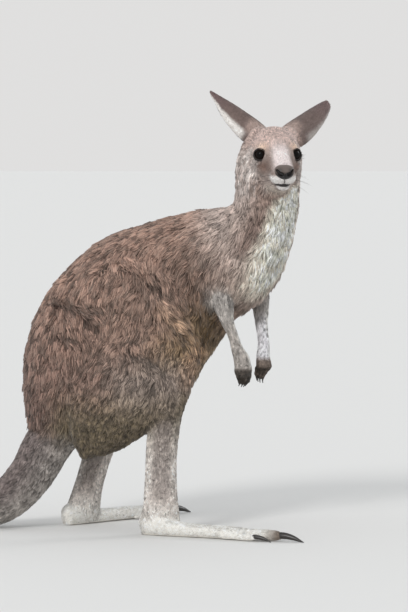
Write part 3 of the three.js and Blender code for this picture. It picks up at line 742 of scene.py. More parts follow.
# the groin's olive-brown in this row is part fur, part painted shade with a painted greenish reflection
LOW_NECK_FUR, FOLD_FUR, GROIN_FUR_IN_PAINTED_SHADE = hue(112, 90, 81), hue(196, 162, 134), hue(98, 78, 52)
CHEST_AHEAD = unit([0.66, -0.75, 0.0])  # the way the breast faces
ARMPITS = [(2, -112, 512), (64, 30, 512)]
ARMPIT_SHADE = 0.42
# painted shade in a fold's crease and painted light on its ridge
CREASE_SHADE, RIDGE_PAINTED_LIGHT = 0.15, 0.03  # for each millimetre that a fold stands in or out


def on_trunk(at, normal, trunk_share, dorsal):
    """Brown back and flanks, a darker rump, greyer shoulders and neck, a white breast, an olive
    underside in painted shade, painted shade in the armpits, and the ginger folds of the flank,
    with painted light on their ridges and painted shade in the creases between them and behind
    the arm."""
    y, z = at[:, 1], at[:, 2]
    side_on = at[:, [0, 2]]
    fur = toward(FLANK_FUR + 0 * at, BACK_FUR, ramp(dorsal, -0.1, 0.75))
    fur = toward(fur, RUMP_FUR, ramp(trunk_share, 0.32, 0.1) * 0.7)
    fur = toward(fur, SHOULDER_FUR, ramp(trunk_share, 0.52, 0.68) * 0.8)
    fur = toward(fur, NECK_FUR, ramp(trunk_share, 0.74, 0.86))
    fur = toward(fur, LOW_NECK_FUR, 0.8 * bell(off_line(side_on, (88, 598), (112, 648)), 26) * (y < -90))
    nape = ramp(trunk_share, 0.72, 0.84) * ramp(-normal[:, 0], 0.3, 0.9) * ramp(z, 640, 680)
    fur = toward(fur, NAPE_FUR, nape)
    # the underside: painted shade with a greenish painted reflection over the belly's fur colour
    under = ramp(-dorsal, 0.15, 0.8)
    fur = toward(fur, BELLY_FUR_IN_PAINTED_SHADE, under * ramp(trunk_share, 0.6, 0.42))
    breast = normal @ CHEST_AHEAD
    white = ramp(breast, 0.60, 0.92) * ramp(trunk_share, 0.56, 0.66) * ramp(z, 745, 700)
    fur = toward(fur, CHEST_FUR, white)
    fur = toward(fur, THROAT_FUR, ramp(breast, 0.3, 0.8) * ramp(trunk_share, 0.9, 0.97) * 0.6)
    for armpit in ARMPITS:
        fur = fur * (1 - ARMPIT_SHADE * nearness(at, armpit, 50)[:, None] * [0.9, 1, 1.06])
    fold = np.maximum(off_fold(at, (-88, 466), (-6, 378), 13), off_fold(at, (-20, 392), (-6, 340), 16))
    fur = toward(fur, FOLD_FUR, (0.38 + 0.30 * ramp(z, 440, 380)) * fold)
    # painted light on the ridges of the folds and painted shade in the creases, also behind the arm
    for start, end, wide, height in FOLDS:
        shade = (RIDGE_PAINTED_LIGHT if height > 0 else CREASE_SHADE) * height
        fur = fur * (1 + shade * off_fold(at, start, end, wide)[:, None])
    # olive-brown painted shade, with a greenish painted reflection, in the hollow between the flank's
    # fold and the arm
    return toward(fur, GROIN_FUR_IN_PAINTED_SHADE, 0.8 * off_fold(at, (14, 452), (-2, 404), 26))


# the low thighs' dull olive is part fur colour, part painted shade with a greenish painted reflection
THIGH_FUR, LOW_THIGH_FUR_IN_PAINTED_SHADE = hue(143, 129, 120), hue(119, 106, 84)
KNEE_TINT = [0.92, 0.85, 0.8]


def on_thighs(at, trunk):
    """The trunk's colours carried on as far as the hips, and the thighs': grizzled in front,
    ginger at the knee's edge, and dull olive low down and behind, darkened there by painted shade
    in patches."""
    x, y, z = at.T
    ahead_of_hip = x + np.where(y > 10, 84, 0)
    grizzled = ramp(z, 390, 310) * ramp(ahead_of_hip, -220, -130)
    trunk = toward(trunk, THIGH_FUR, 0.5 * grizzled)
    thigh = toward(trunk, THIGH_FUR, grizzled)
    knee_edge = 0.4 * off_fold(at, (-20, 386), (-34, 322), 17)
    trunk, thigh = (toward(part, FOLD_FUR * KNEE_TINT, knee_edge) for part in (trunk, thigh))
    low_rump, low_thigh = ramp(z, 330, 210) * ramp(x, -330, -280), ramp(z, 270, 215) * ramp(x, -60, -130)
    trunk, thigh = (toward(part, LOW_THIGH_FUR_IN_PAINTED_SHADE, low_rump) for part in (trunk, thigh))
    behind = 0.6 * ramp(z, 420, 300) * (x < -150)
    # painted shade: patches low on the rump and behind, and a darkening low on the thighs
    patchy_painted_shade = ramp(waves(at, 24, 41), 0.0, 0.8) * np.maximum(low_rump, behind)
    shadow = (1 - 0.28 * low_thigh) * (1.06 - 0.34 * patchy_painted_shade)
    return toward(trunk, trunk * shadow[:, None], ramp(z, 430, 400)), thigh * shadow[:, None]


SHANK_FUR, SHANK_STREAK, FOOT_FUR = hue(230, 220, 212), hue(140, 128, 122), hue(244, 240, 232)
TOE_FUR = hue(132, 118, 106)
FAR_SHANK_SHADE = 0.82


def on_legs(at, normal, speckle, streak):
    """Shanks that pale downwards, with a grey streak outside, and white feet with dark toes."""
    y, z = at[:, 1], at[:, 2]
    shank = toward(LOW_THIGH_FUR_IN_PAINTED_SHADE + 0 * at, SHANK_FUR, ramp(z, 295, 130))
    shank = shank * np.where(y > 10, FAR_SHANK_SHADE, 1)[:, None]
    outer = np.abs(normal[:, 1])
    shank = toward(shank, SHANK_STREAK, 0.7 * ramp(outer, 0.78, 0.99) * ramp(z, 50, 90))
    shank = toward(shank, FOOT_FUR, 0.6 * ramp(z, 70, 20)) * (1 + 0.08 * streak[:, None])
    foot = FOOT_FUR * (1 + 0.04 * speckle[:, None])
    reach = np.zeros(len(at))
    for side in SIDES:
        heel = in_foot(side, 0, 0, 0)
        ahead_of_heel = (at - heel) @ (in_foot(side, 1, 0, 0) - heel)
        reach = np.where((y > 25) == (side == "left"), ahead_of_heel, reach)
    return shank, toward(foot, TOE_FUR, ramp(reach, 262, 306))


# the far arm's colour in this row is painted lighter than the near arm's: painted light against its shade
ARM_FUR, FOREARM_FUR, FAR_ARM_FUR_PAINTED_LIGHT = hue(174, 167, 161), hue(174, 166, 159), hue(224, 221, 224)
HAND_FUR, FINGER_FUR = hue(128, 114, 104), hue(46, 39, 32)


def on_arms(at, normal, streak):
    """Grey arms, paler in front, the far arm lightened by painted light, with dark hands,
    nearly black, uneven fingers, and painted shade in the gaps between the fingers.
    """
    x, y, z = at.T
    arm = toward(SHOULDER_FUR + 0 * at, ARM_FUR, ramp(z, 545, 490))
    # the far arm gets the lighter colour: painted light
    forearm = np.where(y[:, None] < -90, FOREARM_FUR, FAR_ARM_FUR_PAINTED_LIGHT)
    arm = toward(arm, forearm, ramp(z, 470, 400)) * (1 + 0.2 * streak[:, None])
    arm = toward(arm, FOOT_FUR, 0.6 * ramp(normal[:, 0], 0.55, 0.95) * ramp(z, 480, 440))
    right_hand = x < 104
    arm = toward(arm, HAND_FUR, np.where(right_hand, ramp(z, 346, 336) * 0.6, ramp(z, 366, 352)))
    between = np.full(len(at), 99.0)
    for side in SIDES:
        for number in range(FINGERS):
            root, knuckle, tip, _ = finger_line(side, number)
            off_bones = np.minimum(off_line(at, root, knuckle), off_line(at, knuckle, tip))
            between = np.minimum(between, off_bones)
    # painted shade in the gaps between the fingers
    gap = ramp(between, 2.4, 3.8) * ramp(z, 346, 336)
    uneven = z + 5 * waves(at, 12.0, 21)
    dark = np.where(right_hand, np.maximum(ramp(uneven, 340, 318), 0.8 * gap),
                    np.maximum(0.9 * gap, ramp(uneven, 330, 316)))
    return toward(arm, FINGER_FUR, dark)


TAIL_FUR, TAIL_UNDER, TAIL_TIP = hue(117, 106, 103), hue(168, 161, 155), hue(66, 58, 54)


def on_tail(at, normal):
    """A tail that is paler beneath and nearly black towards its tip."""
    tail = toward(TAIL_UNDER + 0 * at, TAIL_FUR, ramp(normal[:, 2], -0.6, 0.3))
    return toward(tail, TAIL_TIP, ramp(at[:, 0], -640, -900))


CROWN_FUR, FOREHEAD_FUR, BRIDGE_FUR = hue(178, 156, 146), hue(198, 175, 166), hue(241, 227, 223)
CHEEK_FUR, PALE_CHEEK_FUR, UNDER_EYE_FUR = hue(166, 150, 142), hue(218, 210, 205), hue(118, 95, 84)
BROW_FUR, LIP_FUR, RIM_SKIN = hue(234, 204, 184), hue(236, 230, 226), hue(34, 28, 26)


def on_head(at, trunk, speckle, streak):
    """The head's colours, and the trunk's with the cheek's pale streaks carried on to it: a
    dark line from the eye to the lip, a pale bridge, brow, lip and chin, and a groove of bare
    dark skin deepened by painted shade."""
    ahead, left, up = head_parts(at)
    side_on = np.abs(left)
    head = toward(CROWN_FUR + 0 * at, CHEEK_FUR, ramp(up, 22, -10))
    head = toward(head, FOREHEAD_FUR, ramp(up, 2, 24) * ramp(ahead, -66, -30))
    head = toward(head, UNDER_EYE_FUR, 0.6 * ramp(ahead, 16, 40) * ramp(up, -50, -40))
    for out in SIDES.values():
        under_eye, below = in_head(8, out * 40, -20), in_head(26, out * 31, -26)
        by_nose = in_head(52, out * 24, -34)
        head = toward(head, UNDER_EYE_FUR, bell(off_line(at, under_eye, below), 11))
        head = toward(head, UNDER_EYE_FUR, 0.9 * bell(off_line(at, below, by_nose), 8))
        head = toward(head, BROW_FUR, nearness(at, in_head(6, out * 33, 11), (15, 14, 8)))
        head = toward(head, LIP_FUR, 0.75 * nearness(at, in_head(50, out * 23, -50), (17, 10, 9)))
    head = toward(head, BRIDGE_FUR, ramp(side_on, 23, 9) * ramp(up, -46, -30) * ramp(ahead, 8, 40))
    pale = ramp(side_on, 34, 44) * ramp(side_on, 72, 64) * ramp(up, 16, 0)
    pale = pale * ramp(up, -92, -60) * ramp(ahead, -75, -50)
    pale = pale * (0.38 + 0.34 * np.clip(streak, -1, 1))
    head, trunk = (toward(part, PALE_CHEEK_FUR, pale * (at[:, 2] > 640)) for part in (head, trunk))
    head = toward(head, LIP_FUR, ramp(ahead, 56, 66) * ramp(up, -40, -48))
    # the groove under the nose: dark bare skin, with painted shade in the groove
    groove = bell(left, 1.5) * ramp(ahead, 70, 76) * ramp(up, -40, -46) * ramp(up, -66, -63)
    head = toward(head, RIM_SKIN, 0.85 * groove)
    head = toward(head, THROAT_FUR, ramp(up, -56, -70) * ramp(ahead, 50, 34))
    return head * (1 + 0.09 * speckle[:, None] * ramp(up, -30, 0)[:, None]), trunk


EAR_BACK_FUR, EAR_TIP_FUR, EAR_FRINGE = hue(112, 95, 89), hue(110, 90, 88), hue(240, 234, 228)
EAR_INSIDE = hue(210, 190, 180)
FRINGE_FROM = {"right": 0.62, "left": 0.86}  # share of the leaf's half-width


def on_ears(at, normal, ear_share):
    """Ears that are dark behind and pale inside, with a white fringe on the lower rim, and the
    crown's colour at their roots."""
    ear_face, fringe = np.zeros(len(at)), np.zeros(len(at))
    for side in SIDES:
        root, reach, along, outward, across = ear_frame(side)
        mine = (at - HEAD_AT) @ FACE_LEFT * SIDES[side] > 0
        share, leaf, half_angle = np.array(EAR_ROLL[side]).T
        climb = ((at - root) @ along / np.linalg.norm(reach)).clip(0, 1)
        hollow = np.interp(climb, share, leaf / half_angle)
        from_axis = unit(at - root - np.outer(climb, reach) + np.outer(hollow, outward))
        ear_face = np.where(mine, np.sum(normal * from_axis, axis=1), ear_face)
        low = across * (-1 if across[2] > 0 else 1)
        edge = np.interp(ear_share, share, leaf / half_angle * np.sin(np.minimum(half_angle, 1.57)))
        out_there = (at - root - np.outer((at - root) @ along, along)) @ low / np.maximum(edge, 2)
        start = FRINGE_FROM[side]
        fringe = np.where(mine, ramp(out_there, start, start + 0.25) * ramp(ear_share, 0.06, 0.2), fringe)
    ears = toward(EAR_BACK_FUR + 0 * at, EAR_TIP_FUR, ramp(ear_share, 0.45, 0.95))
    ears = toward(ears, EAR_INSIDE, ramp(ear_face, 0.1, -0.25))
    ears = toward(ears, EAR_FRINGE, fringe * (0.95 - 0.25 * ramp(ear_share, 0.75, 1.0)))
    roots = [in_head(*EARS[side][0]) for side in SIDES]
    return toward(ears, CROWN_FUR, ramp(gap_to(at, roots), 34, 12) * 0.8)


LID_RING = (14.8, 10.9)  # half-width and half-height of the bare dark ring about an eye
LIP_RIM = (5.2, 3.0)  # where the bare dark lips begin, and where they are fully dark
PATCH_DEPTH = 0.09


def markings_and_painted_light(at, normal, belongs, trunk_share, dorsal, ear_share):
    """The coat's colour at places on the skin: each part's colours, painted light and shade
    among them, weighed by how much the place belongs to it, then bare dark skin round the eyes
    and along the lips."""
    speckle = waves(at, 5.0, 3)
    patch = waves(at, 34.0, 4)
    streak = waves(at * [1, 1, 0.25], 7.0, 5)
    trunk, thigh = on_thighs(at, on_trunk(at, normal, trunk_share, dorsal))
    shank, foot = on_legs(at, normal, speckle, streak)
    arm, tail = on_arms(at, normal, streak), on_tail(at, normal)
    head, trunk = on_head(at, trunk, speckle, streak)
    ears = on_ears(at, normal, ear_share)
    parts = [trunk, head, thigh, shank, foot, arm, tail, ears]
    colour = sum(part * belongs[:, k:k + 1] for k, part in enumerate(parts))
    colour = colour / belongs.sum(axis=1)[:, None]
    body_share = belongs[:, [TRUNK_PART, THIGH_PART, TAIL_PART]].sum(axis=1)
    colour = colour * (1 + PATCH_DEPTH * patch * body_share)[:, None]
    for side, middle in EYE_MIDDLES.items():
        look, inner, above = gaze(side)
        off = at - middle
        ring = np.hypot((off @ inner - 0.8) / LID_RING[0], off @ above / LID_RING[1])
        lid = ramp(ring, 1.10, 0.98) * ((off @ look) > 0) * ramp(np.linalg.norm(off, axis=1), 20, 17)
        colour = toward(colour, RIM_SKIN, lid)
    colour = toward(colour, RIM_SKIN, ramp(gap_to(at, MOUTH_POINTS), *LIP_RIM) * belongs[:, HEAD_PART])
    return np.clip(colour, 0.003, 0.95)


def painted(mesh, name, colours):
    """Keeps a colour for each corner of the mesh, under a name that its material reads."""
    attribute = mesh.attributes.new(name, "FLOAT_COLOR", "POINT")
    solid_colours = np.hstack([colours, np.ones((len(colours), 1))])
    attribute.data.foreach_set("color", solid_colours.astype(np.float32).ravel())


trunk_guide = guide[guide[:, 3] == TRUNK_PART]
near_trunk = trunk_guide[nearest(at, trunk_guide[:, :3])]
fields = np.stack([near_trunk[:, 4], near_trunk[:, 6], np.where(part_of == EAR_PART, share, 0)], axis=1)
fields = spread(fields, edges, 5)  # share of the trunk, how far up its side, share of the ear
# these colours hold painted light and shade as well as the fur's markings
painted(skin.data, "Marking_and_painted_light", markings_and_painted_light(at, normal, belongs, *fields.T))

# ---------------------------------------------------------------------------
# The lie of the hair: along each part, down the sides of the trunk and cheeks, back and down
# on the thighs, along the folds of the flank, and away from the eyes all round.

SIDE_DROP, CHEEK_DROP = 0.75, 0.9  # how much the hair turns down there
THIGH_LIE = unit([-0.42, 0, -0.9])
FOLD_LIE = 0.9  # how far the hair turns to run along a fold
TRUNK_COMBED, ALL_COMBED = 40, 10  # rounds in which neighbours even out their lie

lie = near[:, 7:10].copy()
trunk_like = belongs[:, TRUNK_PART]
flank_side = np.sqrt(np.clip(1 - fields[:, 1] ** 2, 0, 1)) * ramp(at[:, 2], 640, 560)
lie = lie - UP * (SIDE_DROP * flank_side * trunk_like)[:, None]
lie = toward(lie, THIGH_LIE, belongs[:, THIGH_PART])
lie = spread(lie, edges, TRUNK_COMBED, trunk_like * 0.6)
for start, end, wide, _ in FOLDS:
    along = np.array([end[0] - start[0], 0, end[1] - start[1]], float)
    lie = toward(unit(lie), unit(along), FOLD_LIE * off_fold(at, start, end, wide + 7) * (at[:, 0] < 10))
ahead, left, up = head_parts(at)
cheek = ramp(up, 6, -30) * ramp(ahead, 40, 0) * belongs[:, HEAD_PART]
lie = lie - UP * (CHEEK_DROP * cheek)[:, None]
lie = spread(lie, edges, ALL_COMBED)
for side, middle in EYE_MIDDLES.items():
    look, _, _ = gaze(side)
    off = at - middle
    beside = off - np.outer(off @ look, look)
    around_eye = ramp(np.linalg.norm(off, axis=1), 27, 17) * ((off @ look) > -6)
    lie = toward(unit(lie), unit(beside), around_eye)
lie = unit(lie - normal * np.sum(lie * normal, axis=1, keepdims=True))

# ---------------------------------------------------------------------------
# The finish of the skin: matt hide in the coat's colours, painted light and shade included,
# with a fine grain that darkens it here and there and dimples it. It shows on the lids, the lips
# and between the locks.


def finish_of(name, settings):
    """A new material: itself, its nodes, its links, and its Principled shader with settings."""
    made = bpy.data.materials.new(name)
    made.use_nodes = True
    nodes = made.node_tree.nodes
    shader = nodes["Principled BSDF"]
    for socket, value in settings.items():
        shader.inputs[socket].default_value = value
    return made, nodes, made.node_tree.links, shader


def group_of(name, inputs, outputs):
    """An empty group with named sockets: itself, what comes in, and what goes out."""
    group = bpy.data.node_groups.new(name, "ShaderNodeTree")
    for label, kind in inputs.items():
        group.interface.new_socket(label, in_out="INPUT", socket_type="NodeSocket" + kind)
    for label, kind in outputs.items():
        group.interface.new_socket(label, in_out="OUTPUT", socket_type="NodeSocket" + kind)
    return group, group.nodes.new("NodeGroupInput").outputs, group.nodes.new("NodeGroupOutput").inputs


def grain_in(group, scale, detail):
    """Noise in the object's own coordinates, between 0 and 1, with its scale and detail."""
    place = group.nodes.new("ShaderNodeTexCoord")
    noise = group.nodes.new("ShaderNodeTexNoise")
    group.links.new(place.outputs["Object"], noise.inputs["Vector"])
    group.links.new(scale, noise.inputs["Scale"])
    group.links.new(detail, noise.inputs["Detail"])
    return noise.outputs["Fac"]


def grained_colour():
    """The group for hide and fur: a colour times a share that runs from Darkest to Lightest
    as the noise runs from 0.3 to 0.7."""
    group, given, made = group_of(
        "grained_colour",
        {"Color": "Color", "Scale": "Float", "Detail": "Float", "Darkest": "Float", "Lightest": "Float"},
        {"Color": "Color", "Grain": "Float"})
    grain = grain_in(group, given["Scale"], given["Detail"])
    level = group.nodes.new("ShaderNodeMapRange")
    level.inputs["From Min"].default_value = 0.3
    level.inputs["From Max"].default_value = 0.7
    group.links.new(given["Darkest"], level.inputs["To Min"])
    group.links.new(given["Lightest"], level.inputs["To Max"])
    group.links.new(grain, level.inputs["Value"])
    scaled = group.nodes.new("ShaderNodeVectorMath")
    scaled.operation = "SCALE"
    group.links.new(given["Color"], scaled.inputs[0])
    group.links.new(level.outputs["Result"], scaled.inputs["Scale"])
    group.links.new(scaled.outputs["Vector"], made["Color"])
    group.links.new(grain, made["Grain"])
    return group


def placed(group, nodes, settings):
    """A group placed in a material with that material's own values."""
    node = nodes.new("ShaderNodeGroup")
    node.node_tree = group
    for socket, value in settings.items():
        node.inputs[socket].default_value = value
    return node


def colour_kept(name, nodes):
    """The colours kept on the mesh under that name."""
    kept = nodes.new("ShaderNodeAttribute")
    kept.attribute_name = name
    return kept.outputs["Color"]


def dimpled(nodes, links, shader, height, strength, distance):
    """Bumps the surface by a height from 0 to 1, over a distance in metres."""
    bump = nodes.new("ShaderNodeBump")
    bump.inputs["Strength"].default_value = strength
    bump.inputs["Distance"].default_value = distance
    links.new(height, bump.inputs["Height"])
    links.new(bump.outputs["Normal"], shader.inputs["Normal"])


GRAINED = grained_colour()
HIDE_GRAIN = {"Scale": 700, "Detail": 2, "Darkest": 0.85, "Lightest": 1.15}

skin_finish, nodes, links, shader = finish_of("skin_under_coat", {"Roughness": 0.7})
hide = placed(GRAINED, nodes, HIDE_GRAIN)
links.new(colour_kept("Marking_and_painted_light", nodes), hide.inputs["Color"])
links.new(hide.outputs["Color"], shader.inputs["Base Color"])
dimpled(nodes, links, shader, hide.outputs["Grain"], 0.4, 0.0006)
skin.data.polygons.foreach_set("use_smooth", [True] * len(skin.data.polygons))
skin.data.materials.clear()
skin.data.materials.append(skin_finish)
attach(skin, "root")
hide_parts(*[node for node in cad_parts
                    if not node.startswith(("eye", "nose", "fore_claw", "hind_claw"))])

# ---------------------------------------------------------------------------
# Eyes: two large wet eyeballs, nearly black, with a dark brown ring of iris round a wide
# pupil. Each is a ball that fills its socket, and the lids close on it.

EYE_GLOSS = {"Roughness": 0.04, "Specular IOR Level": 0.1}
PUPIL_DARK, IRIS_BROWN = hue(12, 9, 8), hue(32, 22, 16)


def piece_of(name, bodies, material, node):
    """A finished piece: smooth mesh, its material, and what it stands for."""
    made = solid(name, *bodies)
    made.data.polygons.foreach_set("use_smooth", [True] * len(made.data.polygons))
    made.data.materials.append(material)
    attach(made, "root")
    if node:
        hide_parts(node)
    return made


eye_finish, nodes, links, shader = finish_of("wet_eye", EYE_GLOSS)
links.new(colour_kept("Iris", nodes), shader.inputs["Base Color"])
for side, centre in EYE_MIDDLES.items():
    look, inner, above = gaze(side)
    ball = egg(centre, look, above, [EYE_RADIUS] * 3, 64)
    eyeball = piece_of(f"eyeball_{side}", [ball], eye_finish, f"eye_{side}")
    off = unit(ball[0] - centre)
    away = np.arccos(np.clip(off @ look, -1, 1))
    rays = 0.7 + 0.3 * np.sin(17 * np.arctan2(off @ inner, off @ above)) * np.sin(40 * away)
    brown = ramp(away, 0.50, 0.58) * ramp(away, 1.0, 0.86) * rays
    painted(eyeball.data, "Iris", toward(PUPIL_DARK + 0 * off, IRIS_BROWN, brown))

# ---------------------------------------------------------------------------
# Nose: a bare leathery pad with a comma of a nostril on each side and a groove that runs
# down to the lip. It is a squared ball, sunk a little into the muzzle.

NOSE_AT = (77.0, -34.5)  # ahead of and above the middle of the eyes
NOSE_HALF = (12.5, 19.6, 12.8, 15.0)  # ahead, wide, top, under
NOSTRIL_DEPTH, GROOVE_DEPTH, NOSTRIL_SWELL = 7.0, 1.8, 1.4
NOSE_GREY, NOSE_BLACK = hue(98, 86, 79), hue(24, 21, 20)
PEBBLES_PER_METRE = 900


def nose_pad(rings=72, around=120):
    """A ball squared by powers of its sines and cosines and stretched to the pad's half-sizes,
    then drawn in: by a bell about each nostril's curved line, and by a bell about the groove."""
    tilt = np.linspace(-1, 1, rings + 2)[1:-1, None] * math.pi / 2
    turn = np.arange(around)[None] * 2 * math.pi / around
    x = powered(np.sin(tilt), 0.9) + 0 * turn
    y = np.cos(tilt) * powered(np.cos(turn), 0.85)
    z = np.cos(tilt) * powered(np.sin(turn), 0.85)
    y = y * (1 + 0.10 * z - 0.12 * np.clip(-z, 0, 1) ** 2)
    ahead, left = x * NOSE_HALF[0], y * NOSE_HALF[1]
    up = np.where(z > 0, NOSE_HALF[2], NOSE_HALF[3]) * z
    front = ramp(x, -0.1, 0.35)
    pit = 0
    for out in SIDES.values():
        t = np.linspace(0, 1, 14)[:, None, None]
        bend_left, bend_up = out * (7.0 + 8.5 * t), -3.5 + 1.0 * t + 5.5 * t**2
        gap = np.sqrt((left - bend_left) ** 2 + (up - bend_up) ** 2) / (4.0 - 1.4 * t)
        pit = np.maximum(pit, np.exp(-gap.min(axis=0) ** 4))
    groove = bell(left, 1.1) * ramp(-up, -2, 4)
    swell = sum(np.exp(-((left - out * 8.5) / 4.5) ** 2 - ((up - 3.5) / 4.0) ** 2)
                for out in SIDES.values())
    ahead = ahead + front * (NOSTRIL_SWELL * swell - NOSTRIL_DEPTH * pit - GROOVE_DEPTH * groove)
    left = left - front * pit * np.sign(left) * 1.5
    return closed(in_head(NOSE_AT[0] + ahead, left, NOSE_AT[1] + up - 0.22 * ahead)), pit


nose_finish, nodes, links, shader = finish_of("nose_leather", {"Roughness": 0.42})
links.new(colour_kept("Leather", nodes), shader.inputs["Base Color"])
where = nodes.new("ShaderNodeTexCoord")
pebbles = nodes.new("ShaderNodeTexVoronoi")
pebbles.inputs["Scale"].default_value = PEBBLES_PER_METRE
links.new(where.outputs["Object"], pebbles.inputs["Vector"])
dimpled(nodes, links, shader, pebbles.outputs["Distance"], 0.35, 0.0004)
nose_body, dark_pit = nose_pad()
nose = piece_of("nose_pad", [nose_body], nose_finish, "nose")
_, nose_left, nose_up = head_parts(nose_body[0])
black = np.maximum(np.append(dark_pit.ravel(), [0, 0]), ramp(nose_up, -33, -42))
black = np.maximum(black, 0.7 * bell(np.abs(nose_left) - 11, 5) * ramp(nose_up, -24, -32))
painted(nose.data, "Leather", toward(NOSE_GREY + 0 * nose_body[0], NOSE_BLACK, black))

# ---------------------------------------------------------------------------
# Claws: dark horn, thick and nearly straight on the hind toes, small and hooked on the
# fingers. Each is seated a little way inside the toe's skin.

CLAW_SHAPE = [  # share of the length, and its thickness as a share of the root's
    (-0.22, 0.7), (0.0, 0.98), (0.3, 0.9), (0.6, 0.66), (0.85, 0.36), (1.0, 0.1)]
HIND_CURVE = 0.24
FORE_LENGTH, FORE_RADIUS, FORE_CURVE = 11.0, 2.25, 0.42
CLAW_THINNEST, CLAW_GAP = 0.35, 0.5  # radius of the tip, and height of the horn above the floor
HORN = {"Dark": (0.010, 0.008, 0.007, 1), "Light": (0.040, 0.033, 0.028, 1), "Scale": 420, "Detail": 5}


def claw(root, ahead, hook, length, radius, curve):
    """A horn carried along ahead*share + hook*curve*share^2, oval and flat beneath."""
    stations = []
    turn = math.degrees(math.atan2(-ahead[1], ahead[0])) if abs(ahead[2]) < 0.5 else 0
    for share, full in CLAW_SHAPE:
        at = np.asarray(root) + ahead * length * share + hook * length * curve * max(share, 0) ** 2
        r = max(radius * full, CLAW_THINNEST)
        at[2] = max(at[2], 0.8 * r + CLAW_GAP)
        stations.append((*at, r * 0.92, r * 1.05, r * 0.8, turn, 0))
    return tube(stations, (0.6, 0.3), around=18)


def two_tones():
    """The group for horn and whiskers: a dark and a light colour mixed by noise."""
    group, given, made = group_of(
        "two_tones", {"Dark": "Color", "Light": "Color", "Scale": "Float", "Detail": "Float"},
        {"Color": "Color", "Grain": "Float"})
    grain = grain_in(group, given["Scale"], given["Detail"])
    mix = group.nodes.new("ShaderNodeMixRGB")
    group.links.new(grain, mix.inputs["Fac"])
    group.links.new(given["Dark"], mix.inputs["Color1"])
    group.links.new(given["Light"], mix.inputs["Color2"])
    group.links.new(mix.outputs["Color"], made["Color"])
    group.links.new(grain, made["Grain"])
    return group


TWO_TONES = two_tones()
claw_finish, nodes, links, shader = finish_of("claw_horn", {"Roughness": 0.35})
horn = placed(TWO_TONES, nodes, HORN)
links.new(horn.outputs["Color"], shader.inputs["Base Color"])
dimpled(nodes, links, shader, horn.outputs["Grain"], 0.3, 0.0003)
for side in SIDES:
    turn = math.radians(FEET[side][1])
    forward = np.array([math.cos(turn), math.sin(turn), 0])
    for name, _, end, out, _, length, root_radius in TOES:
        seat = in_foot(side, end - 2, out[1], root_radius + 4)
        piece_of(f"hind_horn_{side}_{name}",
                 [claw(seat, forward, -UP, length + 2, root_radius, HIND_CURVE)],
                 claw_finish, f"hind_claw_{side}_{name}")
    for number in range(FINGERS):
        _, knuckle, tip, inside = finger_line(side, number)
        reach = unit(unit(tip - knuckle) + inside * 0.5)
        piece_of(f"fore_horn_{side}_{number + 1}",
                 [claw(tip, reach, inside, FORE_LENGTH, FORE_RADIUS, FORE_CURVE)],
                 claw_finish, f"fore_claw_{side}_{number + 1}")

# ---------------------------------------------------------------------------
# Whiskers and lashes: stiff tapered hairs, set in rows on the lip and along the upper lid.
# Each is a thin four-sided strand rooted in the skin.

WHISKER_ROWS = [2, 3, 2]  # how many in each row, from the upper row down
WHISKER_THICK, LASH_THICK = 0.19, 0.34
WHISKER_LENGTH, LASH_LENGTH = (24, 40), (6, 9)
UNEVEN = 0.08  # how far a hair's way may stray
LASHES = 17
HAIR_TONES = {"Dark": (0.05, 0.042, 0.038, 1), "Light": (0.16, 0.13, 0.115, 1),
              "Scale": 2400, "Detail": 2}


def strand(start, way, droop, length, thick, steps=6):
    """A hair along start + way*s + droop*s^2, with a four-sided section that thins by s^2."""
    s = np.linspace(0, 1, steps)[:, None]
    line = start + way * length * s + droop * length * s**2
    side = unit(np.cross(way, UP + 0.01))
    above = np.cross(side, way)
    angle = np.arange(4) * math.pi / 2
    ring = np.cos(angle)[:, None] * side + np.sin(angle)[:, None] * above
    return closed(line[:, None] + ring * (thick * (1 - 0.85 * s**2))[..., None])


hair_finish, nodes, links, shader = finish_of("whisker", {"Roughness": 0.45})
tones = placed(TWO_TONES, nodes, HAIR_TONES)
links.new(tones.outputs["Color"], shader.inputs["Base Color"])
rng = np.random.default_rng(7)
whiskers, lashes = [], []
for side, out in SIDES.items():
    for row, in_row in enumerate(WHISKER_ROWS):
        for number in range(in_row):
            start = in_head(50 - 5 * number, 0, -44 - 6 * row)
            outward = unit(FACE_AHEAD * (0.55 - 0.12 * number) + FACE_LEFT * out
                           + UP * (0.05 - 0.12 * row))
            hit = muzzle.ray_cast(Vector(start * MM + SHIFT), Vector(outward))[0]
            root = (np.array(hit) - SHIFT) / MM - outward * 1.5
            way = unit(outward - FACE_AHEAD * 0.45 + rng.normal(0, UNEVEN, 3))
            length = rng.uniform(*WHISKER_LENGTH)
            whiskers.append(strand(root, way, -UP * 0.25, length, WHISKER_THICK))
    look, inner, above = gaze(side)
    for angle in np.linspace(0.18, 0.92, LASHES) * math.pi:
        beside = inner * math.cos(angle) + above * math.sin(angle)
        root = EYE_MIDDLES[side] + unit(look * 0.72 + beside * 0.80) * (EYE_RADIUS + 1.6)
        way = unit(look * 0.9 + beside * 0.75 - UP * 0.15 + rng.normal(0, UNEVEN, 3))
        length = rng.uniform(*LASH_LENGTH) * (1.25 if math.cos(angle) < 0 else 0.8)
        lashes.append(strand(root, way, UP * 0.22, length, LASH_THICK))
for name, hairs in (("whiskers", whiskers), ("lashes", lashes)):
    piece = piece_of(name, hairs, hair_finish, None)
    unwrap = piece.data.uv_layers.new(name="OFBake")  # each hair has a dot of its own on the map
    corner = read_out(piece.data.loops, "vertex_index", np.int32, 1)[:, 0]
    number, step = np.divmod(corner, len(hairs[0][0]))
    spot = np.stack([0.02 + 0.96 * (number + 0.5) / len(hairs), 0.5 + 0 * step], axis=1)
    turn = step * 2.399
    spot += np.stack([np.cos(turn), np.sin(turn)], axis=1) * 0.0014
    unwrap.data.foreach_set("uv", spot.astype(np.float32).ravel())

